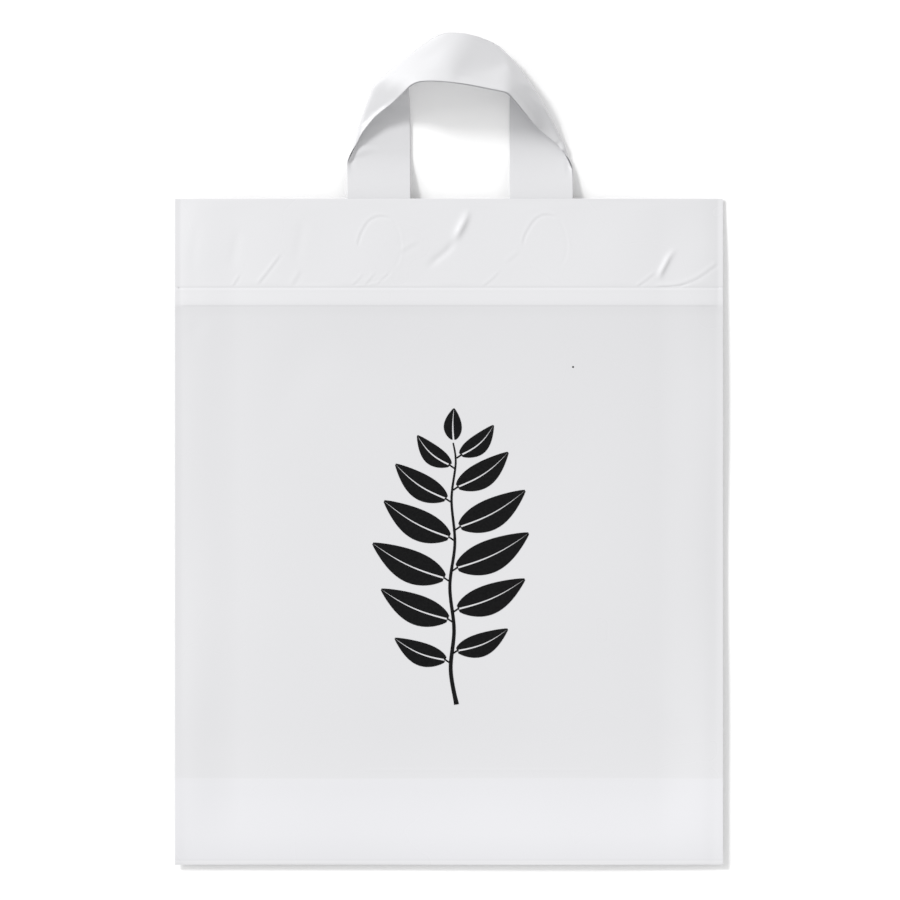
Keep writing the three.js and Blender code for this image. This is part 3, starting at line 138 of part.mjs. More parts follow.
  [70.04, 176.48, 3.17, 70.62, 177.16, 2.17, 69.56, 177.49, 0.97, 67.32, 177.54, 0.79, 64.93, 177.56, 0.81, 62.54, 177.57, 0.81, 60.16, 177.57, 0.81, 57.77, 177.57, 0.81, 55.38, 177.58, 0.8, 53, 177.58, 0.8, 50.61, 177.58, 0.8, 48.23, 177.58, 0.8, 45.85, 177.58, 0.8, 43.46, 177.58, 0.8, 41.08, 177.58, 0.8, 38.7, 177.58, 0.8, 36.32, 177.58, 0.8],
  [71.1, 174.72, 3.21, 71.24, 175.28, 1.75, 69.66, 175.45, 0.82, 67.31, 175.47, 0.79, 64.92, 175.49, 0.8, 62.53, 175.49, 0.8, 60.15, 175.5, 0.8, 57.76, 175.5, 0.8, 55.38, 175.5, 0.8, 52.99, 175.5, 0.8, 50.61, 175.51, 0.8, 48.23, 175.51, 0.8, 45.84, 175.51, 0.8, 43.46, 175.51, 0.8, 41.08, 175.51, 0.8, 38.7, 175.51, 0.8, 36.32, 175.51, 0.8],
  [72.26, 172.98, 3.1, 71.75, 173.34, 1.26, 69.68, 173.4, 0.91, 67.3, 173.41, 0.88, 64.91, 173.41, 0.83, 62.53, 173.42, 0.8, 60.14, 173.43, 0.8, 57.76, 173.43, 0.8, 55.37, 173.43, 0.8, 52.99, 173.43, 0.8, 50.61, 173.43, 0.8, 48.22, 173.43, 0.8, 45.84, 173.43, 0.8, 43.46, 173.43, 0.8, 41.08, 173.43, 0.8, 38.7, 173.43, 0.8, 36.31, 173.43, 0.8],
  [73.06, 171.08, 2.8, 71.98, 171.31, 0.77, 69.68, 171.33, 0.8, 67.29, 171.34, 0.82, 64.9, 171.34, 0.81, 62.52, 171.35, 0.8, 60.13, 171.35, 0.8, 57.75, 171.35, 0.8, 55.37, 171.36, 0.8, 52.99, 171.36, 0.8, 50.6, 171.36, 0.8, 48.22, 171.36, 0.8, 45.84, 171.36, 0.8, 43.46, 171.36, 0.8, 41.08, 171.36, 0.8, 38.69, 171.36, 0.8, 36.31, 171.36, 0.8],
  [73.84, 169.24, 2.13, 72.03, 169.24, 0.53, 69.66, 169.26, 0.78, 67.28, 169.27, 0.8, 64.89, 169.27, 0.8, 62.51, 169.27, 0.8, 60.13, 169.28, 0.8, 57.75, 169.28, 0.8, 55.36, 169.28, 0.8, 52.98, 169.28, 0.8, 50.6, 169.28, 0.8, 48.22, 169.28, 0.8, 45.84, 169.28, 0.8, 43.46, 169.28, 0.8, 41.07, 169.28, 0.8, 38.69, 169.28, 0.8, 36.31, 169.28, 0.8],
  [74.17, 167.22, 1.67, 72.02, 167.17, 0.63, 69.65, 167.19, 0.79, 67.27, 167.19, 0.8, 64.89, 167.2, 0.8, 62.51, 167.2, 0.8, 60.12, 167.2, 0.8, 57.74, 167.2, 0.8, 55.36, 167.2, 0.8, 52.98, 167.21, 0.8, 50.6, 167.21, 0.8, 48.22, 167.21, 0.8, 45.84, 167.21, 0.8, 43.45, 167.21, 0.8, 41.07, 167.21, 0.8, 38.69, 167.21, 0.8, 36.31, 167.21, 0.8],
  [74.31, 165.14, 1.41, 72.02, 165.11, 0.75, 69.64, 165.11, 0.8, 67.26, 165.12, 0.8, 64.88, 165.12, 0.8, 62.5, 165.12, 0.8, 60.12, 165.13, 0.8, 57.74, 165.13, 0.8, 55.36, 165.13, 0.8, 52.98, 165.13, 0.8, 50.6, 165.13, 0.8, 48.22, 165.13, 0.8, 45.83, 165.13, 0.8, 43.45, 165.13, 0.8, 41.07, 165.13, 0.8, 38.69, 165.13, 0.8, 36.31, 165.13, 0.8],
  [74.37, 163.06, 1.23, 72.02, 163.04, 0.84, 69.63, 163.04, 0.8, 67.26, 163.04, 0.8, 64.88, 163.05, 0.8, 62.5, 163.05, 0.8, 60.12, 163.05, 0.8, 57.74, 163.05, 0.8, 55.36, 163.05, 0.8, 52.98, 163.05, 0.8, 50.59, 163.05, 0.8, 48.21, 163.06, 0.8, 45.83, 163.06, 0.8, 43.45, 163.06, 0.8, 41.07, 163.06, 0.8, 38.69, 163.06, 0.8, 36.31, 163.06, 0.8],
  [74.39, 160.98, 1.06, 72.02, 160.97, 0.87, 69.64, 160.97, 0.8, 67.25, 160.97, 0.8, 64.87, 160.97, 0.8, 62.5, 160.97, 0.8, 60.12, 160.97, 0.8, 57.74, 160.98, 0.8, 55.35, 160.98, 0.8, 52.97, 160.98, 0.8, 50.59, 160.98, 0.8, 48.21, 160.98, 0.8, 45.83, 160.98, 0.8, 43.45, 160.98, 0.8, 41.07, 160.98, 0.8, 38.69, 160.98, 0.8, 36.31, 160.98, 0.8],
  [74.4, 158.9, 0.93, 72.02, 158.9, 0.85, 69.64, 158.9, 0.8, 67.26, 158.9, 0.8, 64.87, 158.9, 0.8, 62.49, 158.9, 0.8, 60.11, 158.9, 0.8, 57.73, 158.9, 0.8, 55.35, 158.9, 0.8, 52.97, 158.9, 0.8, 50.59, 158.9, 0.8, 48.21, 158.9, 0.8, 45.83, 158.9, 0.8, 43.45, 158.91, 0.8, 41.07, 158.91, 0.8, 38.69, 158.91, 0.8, 36.3, 158.91, 0.8],
  [74.4, 156.83, 0.83, 72.02, 156.83, 0.81, 69.64, 156.82, 0.8, 67.26, 156.82, 0.8, 64.87, 156.82, 0.8, 62.49, 156.82, 0.8, 60.11, 156.82, 0.8, 57.73, 156.82, 0.8, 55.35, 156.83, 0.8, 52.97, 156.83, 0.8, 50.59, 156.83, 0.8, 48.21, 156.83, 0.8, 45.83, 156.83, 0.8, 43.45, 156.83, 0.8, 41.07, 156.83, 0.8, 38.68, 156.83, 0.8, 36.3, 156.83, 0.8],
  [74.4, 154.75, 0.8, 72.02, 154.75, 0.8, 69.64, 154.75, 0.8, 67.26, 154.75, 0.8, 64.88, 154.75, 0.8, 62.49, 154.75, 0.8, 60.11, 154.75, 0.8, 57.73, 154.75, 0.8, 55.35, 154.75, 0.8, 52.97, 154.75, 0.8, 50.59, 154.75, 0.8, 48.21, 154.75, 0.8, 45.83, 154.75, 0.8, 43.45, 154.75, 0.8, 41.07, 154.76, 0.8, 38.68, 154.76, 0.8, 36.3, 154.76, 0.8],
  [74.4, 152.68, 0.8, 72.02, 152.67, 0.8, 69.64, 152.67, 0.8, 67.26, 152.67, 0.8, 64.88, 152.67, 0.8, 62.49, 152.67, 0.8, 60.11, 152.67, 0.8, 57.73, 152.67, 0.8, 55.35, 152.68, 0.8, 52.97, 152.68, 0.8, 50.59, 152.68, 0.8, 48.21, 152.68, 0.8, 45.83, 152.68, 0.8, 43.45, 152.68, 0.8, 41.06, 152.68, 0.8, 38.68, 152.68, 0.8, 36.3, 152.68, 0.8],
  [74.4, 150.59, 0.8, 72.02, 150.6, 0.8, 69.64, 150.6, 0.8, 67.26, 150.6, 0.8, 64.88, 150.6, 0.8, 62.49, 150.6, 0.8, 60.11, 150.6, 0.8, 57.73, 150.6, 0.8, 55.35, 150.6, 0.8, 52.97, 150.6, 0.8, 50.59, 150.6, 0.8, 48.21, 150.6, 0.8, 45.83, 150.6, 0.8, 43.44, 150.6, 0.8, 41.06, 150.61, 0.8, 38.68, 150.61, 0.8, 36.3, 150.61, 0.8],
];

// ---------------------------------------------------------------- helpers
const smooth = (t) => {
  const u = Math.min(1, Math.max(0, t));
  return u * u * (3 - 2 * u);
};
const INNER = BAG_WIDTH / 2 - SEAM; // where the side welds begin

// Height that the front panel gains over a flat stack, at a place on the bag.
function rise(x, y) {
  const across = Math.max(0, 1 - Math.pow(Math.min(1, Math.abs(x) / INNER), 5));
  const along = 0.12 + 0.88 * smooth((y - BAG_BOTTOM) / 160);
  return PILLOW * across * along;
}
const BACK = FILM / 2;
const BACK_INNER = BACK + PITCH;
const front = (x, y) => BACK_INNER + 2 * PITCH + rise(x, y);
const frontInner = (x, y) => front(x, y) - PITCH;

// One closed solid from an indexed list; faces are turned outwards.
function solid(positions, index) {
  let volume = 0;
  const p = positions;
  for (let i = 0; i < index.length; i += 3) {
    const a = index[i] * 3,
      b = index[i + 1] * 3,
      c = index[i + 2] * 3;
    volume +=
      p[a] * (p[b + 1] * p[c + 2] - p[b + 2] * p[c + 1]) -
      p[a + 1] * (p[b] * p[c + 2] - p[b + 2] * p[c]) +
      p[a + 2] * (p[b] * p[c + 1] - p[b + 1] * p[c]);
  }
  const idx = Array.from(index);
  if (volume < 0)
    for (let i = 0; i < idx.length; i += 3)
      [idx[i + 1], idx[i + 2]] = [idx[i + 2], idx[i + 1]];
  return { positions, index: idx };
}

// A sheet of film: two faces and four rims round a grid of left and right points.
function shell(left, right) {
  const n = left.length,
    m = left[0].length;
  const pos = [],
    idx = [];
  for (const side of [left, right])
    for (const row of side) for (const q of row) pos.push(q.x, q.y, q.z);
  const L = (i, j) => i * m + j;
  const R = (i, j) => n * m + i * m + j;
  const quad = (a, b, c, d) => idx.push(a, b, c, a, c, d);
  for (let i = 0; i + 1 < n; i++)
    for (let j = 0; j + 1 < m; j++) {
      quad(L(i, j), L(i, j + 1), L(i + 1, j + 1), L(i + 1, j));
      quad(R(i, j), R(i + 1, j), R(i + 1, j + 1), R(i, j + 1));
    }
  for (let i = 0; i + 1 < n; i++) {
    quad(L(i, 0), L(i + 1, 0), R(i + 1, 0), R(i, 0));
    quad(L(i, m - 1), R(i, m - 1), R(i + 1, m - 1), L(i + 1, m - 1));
  }
  for (let j = 0; j + 1 < m; j++) {
    quad(L(0, j), R(0, j), R(0, j + 1), L(0, j + 1));
    quad(L(n - 1, j), L(n - 1, j + 1), R(n - 1, j + 1), R(n - 1, j));
  }
  return solid(pos, idx);
}

function steps(from, to, count) {
  return Array.from({ length: count + 1 }, (_, k) => from + ((to - from) * k) / count);
}

// ---------------------------------------------------------------- the folded web
// Section of the web at one place across the bag, from the free edge of the front flap, over the top
// fold, down the front panel, through the bottom gusset, up the back panel and into the back flap.
function section(x) {
  const r = PITCH / 2;
  const top = BAG_TOP - r - FILM / 2;
  const low = BAG_BOTTOM + r + FILM / 2;
  const flapEnd = BAG_TOP - FLAP;
  const apex = BAG_BOTTOM + GUSSET - 1.0;
  const pts = [];
  const put = (y, z) => pts.push([y, z]);
  const fold = (yc, z0, z1, reach) => {
    for (const a of [0.25, 0.5, 0.75]) {
      const t = Math.PI * a;
      put(yc + reach * Math.sin(t), (z0 + z1) / 2 + ((z0 - z1) / 2) * Math.cos(t));
    }
  };
  for (const y of steps(flapEnd, top, 3)) put(y, frontInner(x, y));
  fold(top, frontInner(x, top), front(x, top), r);
  for (const y of steps(top, low, 16)) put(y, front(x, y));
  fold(low, front(x, low), frontInner(x, low), -r);
  for (const y of steps(low, apex, 4)) put(y, frontInner(x, y));
  fold(apex, frontInner(x, apex), BACK_INNER, 0.9);
  for (const y of steps(apex, low, 4)) put(y, BACK_INNER);
  fold(low, BACK_INNER, BACK, -r);
  for (const y of steps(low, top, 10)) put(y, BACK);
  fold(top, BACK, BACK_INNER, r);
  for (const y of steps(top, flapEnd, 3)) put(y, BACK_INNER);
  return pts;
}

const stations = [];
{
  const half = [0, 22, 44, 66, 88, 106, 122, 136, 147, 154.5, 159, INNER, BAG_WIDTH / 2 - 0.4];
  for (let k = half.length - 1; k > 0; k--) stations.push(-half[k]);
  for (const h of half) stations.push(h);
}

function web() {
  const left = [],
    right = [];
  for (const x of stations) {
    const pts = section(x);
    const a = [],
      b = [];
    for (let i = 0; i < pts.length; i++) {
      const p = pts[Math.max(0, i - 1)],
        q = pts[i],
        r = pts[Math.min(pts.length - 1, i + 1)];
      const unit = (u, v) => {
        const d = [v[0] - u[0], v[1] - u[1]];
        const l = Math.hypot(d[0], d[1]) || 1;
        return [d[0] / l, d[1] / l];
      };
      const d0 = i > 0 ? unit(p, q) : unit(q, r);
      const d1 = i < pts.length - 1 ? unit(q, r) : unit(p, q);
      const s = [d0[0] + d1[0], d0[1] + d1[1]];
      const sl = Math.hypot(s[0], s[1]);
      const nrm = [-s[1] / sl, s[0] / sl];
      const cos = Math.max(0.5, -nrm[0] * d0[1] + nrm[1] * d0[0]);
      const h = FILM / 2 / cos;
      a.push(new THREE.Vector3(x, q[0] + nrm[0] * h, q[1] + nrm[1] * h));
      b.push(new THREE.Vector3(x, q[0] - nrm[0] * h, q[1] - nrm[1] * h));
    }
    left.push(a);
    right.push(b);
  }
  return shell(left, right);
}

// A strip that bonds two layers along a line across the bag, stopped short of the side welds.
function sealLine(y, below, above) {
  const reach = INNER - 8;
  const xs = stations.filter((x) => Math.abs(x) < reach);
  const left = [],
    right = [];
  for (const x of [-reach, ...xs, reach]) {
    left.push(
      [-0.5, 0.5].map((k) => new THREE.Vector3(x, y + k * HEM_SEAL_WIDTH, above(x))),
    );
    right.push(
      [-0.5, 0.5].map((k) => new THREE.Vector3(x, y + k * HEM_SEAL_WIDTH, below(x))),
    );
  }
  return shell(left, right);
}

// The weld down one side, through every layer of the web.
function sideWeld(sign) {
  const x0 = sign * (INNER + 0.4),
    x1 = sign * (BAG_WIDTH / 2);
  const y0 = BAG_BOTTOM + 0.02,
    y1 = BAG_TOP - 0.02;
  const row = (x, z) => steps(y0, y1, 12).map((y) => new THREE.Vector3(x, y, z));
  return shell([row(x0, SEAM_HEIGHT), row(x1, SEAM_HEIGHT)], [row(x0, 0), row(x1, 0)]);
}

const wasm = await Module();
wasm.setup();
const toManifold = (s) =>
  new wasm.Manifold(
    new wasm.Mesh({
      numProp: 3,
      vertProperties: new Float32Array(s.positions),
      triVerts: new Uint32Array(s.index),
    }),
  );

function bodySolid() {
  const sealY = BAG_TOP - HEM_SEAL;
  let whole = toManifold(web());
  for (const piece of [
    sideWeld(-1),
    sideWeld(1),
    sealLine(sealY, (x) => frontInner(x, sealY), (x) => front(x, sealY)),
    sealLine(sealY, () => BACK, () => BACK_INNER),
  ])
    whole = whole.add(toManifold(piece));
  const out = whole.getMesh();
  const pos = [];
  for (let i = 0; i < out.vertProperties.length; i += out.numProp)
    pos.push(out.vertProperties[i], out.vertProperties[i + 1], out.vertProperties[i + 2]);
  return { positions: pos, index: Array.from(out.triVerts) };
}

// ---------------------------------------------------------------- the handles
const loop = LOOP.map((row) => {
  const line = [];
  for (let k = 0; k < row.length; k += 3) line.push(new THREE.Vector3(row[k], row[k + 1], row[k + 2]));
  return line;
});

// Normals of a grid of points; on the legs they point up.
function normalsOf(grid) {
  const n = grid.length,
    m = grid[0].length;
  return grid.map((row, i) =>
    row.map((_, j) => {
      const du = grid[Math.min(n - 1, i + 1)][j].clone().sub(grid[Math.max(0, i - 1)][j]);
      const dv = row[Math.min(m - 1, j + 1)].clone().sub(row[Math.max(0, j - 1)]);
      return dv.cross(du).normalize();
    }),
  );
}

function handle(side) {
  const lift = normalsOf(loop);
  const film = (x, y) =>
    side > 0 ? frontInner(x, y) - FILM - SEAT : BACK_INNER + FILM + SEAT;
  const last = loop.length - 1;
  const surface = loop.map((row, i) =>
    row.map((p, j) => {
      const q = p.clone().addScaledVector(lift[i][j], side * HANDLE_GAP);
      if (Math.min(i, last - i) < CALM && q.y < BAG_TOP + LEG_RISE) {
        const w = smooth((q.y - BAG_TOP) / LEG_RISE);
        q.z = w * q.z + (1 - w) * film(q.x, BAG_TOP);
      }
      return q;
    }),
  );
  const tucked = [99.4, 112, 125, 138, 145.5];
  const leg = (row) => tucked.map((y) => row.map((p) => new THREE.Vector3(p.x, y, film(p.x, y))));
  const grid = [...leg(surface[0]), ...surface, ...leg(surface[last]).reverse()];
  const nrm = normalsOf(grid);
  const offset = (k) =>
    grid.map((row, i) => row.map((p, j) => p.clone().addScaledVector(nrm[i][j], (k * FILM) / 2)));
  return shell(offset(1), offset(-1));
}

// ---------------------------------------------------------------- the part
const pieces = [
  ["bag_body", bodySolid(), 0xe9e9eb],
  ["front_handle", handle(1), 0xe4e4e6],
  ["back_handle", handle(-1), 0xdfdfe2],
];

// The frame's origin is under the middle of the whole part, on the plane that it lies on.
const box = new THREE.Box3();
for (const [, s] of pieces) box.union(new THREE.Box3().setFromArray(s.positions));
const origin = new THREE.Vector3((box.min.x + box.max.x) / 2, (box.min.y + box.max.y) / 2, box.min.z);

const group = new THREE.Group();
group.name = "carrier_bag";
for (const [name, s, color] of pieces) {
  const geometry = new THREE.BufferGeometry();
  geometry.setAttribute("position", new THREE.Float32BufferAttribute(s.positions, 3));
  geometry.setIndex(s.index);
  geometry.translate(-origin.x, -origin.y, -origin.z);
  geometry.computeVertexNormals();
  const mesh = new THREE.Mesh(
    geometry,
    new THREE.MeshStandardMaterial({ color, roughness: 0.45, metalness: 0, side: THREE.DoubleSide }),
  );
  mesh.name = name;
  group.add(mesh);
}

export default group;
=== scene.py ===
import math

import bpy
import numpy as np
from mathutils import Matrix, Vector


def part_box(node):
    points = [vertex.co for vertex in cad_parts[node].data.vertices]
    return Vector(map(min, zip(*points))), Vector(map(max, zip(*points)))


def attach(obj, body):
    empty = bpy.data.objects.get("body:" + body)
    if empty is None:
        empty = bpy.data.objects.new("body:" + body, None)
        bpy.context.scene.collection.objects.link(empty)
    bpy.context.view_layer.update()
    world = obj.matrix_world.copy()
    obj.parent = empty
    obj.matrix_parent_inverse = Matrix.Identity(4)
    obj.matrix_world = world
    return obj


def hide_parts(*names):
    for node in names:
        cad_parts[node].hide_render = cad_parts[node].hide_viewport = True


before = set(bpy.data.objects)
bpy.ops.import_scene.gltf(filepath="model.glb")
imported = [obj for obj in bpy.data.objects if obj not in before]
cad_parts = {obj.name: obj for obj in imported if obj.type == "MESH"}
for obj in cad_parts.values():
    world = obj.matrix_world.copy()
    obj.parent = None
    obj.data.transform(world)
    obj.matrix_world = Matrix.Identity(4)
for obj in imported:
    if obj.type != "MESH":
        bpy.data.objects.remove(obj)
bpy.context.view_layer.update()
MM = 0.001

# ------------------------------------------------------------------ sizes, as in the part
FILM = 0.2
BAG_WIDTH = 328.8
BAG_TOP = 150.6
BAG_BOTTOM = -249.3
FLAP = 63.3
HEM_SEAL = 53.1
GUSSET = 51.0
PITCH = 0.35
SEAM = 3.0
PILLOW = 6.2
SEAT = 0.3
HANDLE_GAP = 0.45
LEG_RISE = 27.4
INNER = BAG_WIDTH / 2 - SEAM
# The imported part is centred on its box, so everything here moves by the same small step.
SHIFT_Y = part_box("bag_body")[1].y / MM - BAG_TOP
HALF = BAG_WIDTH / 2

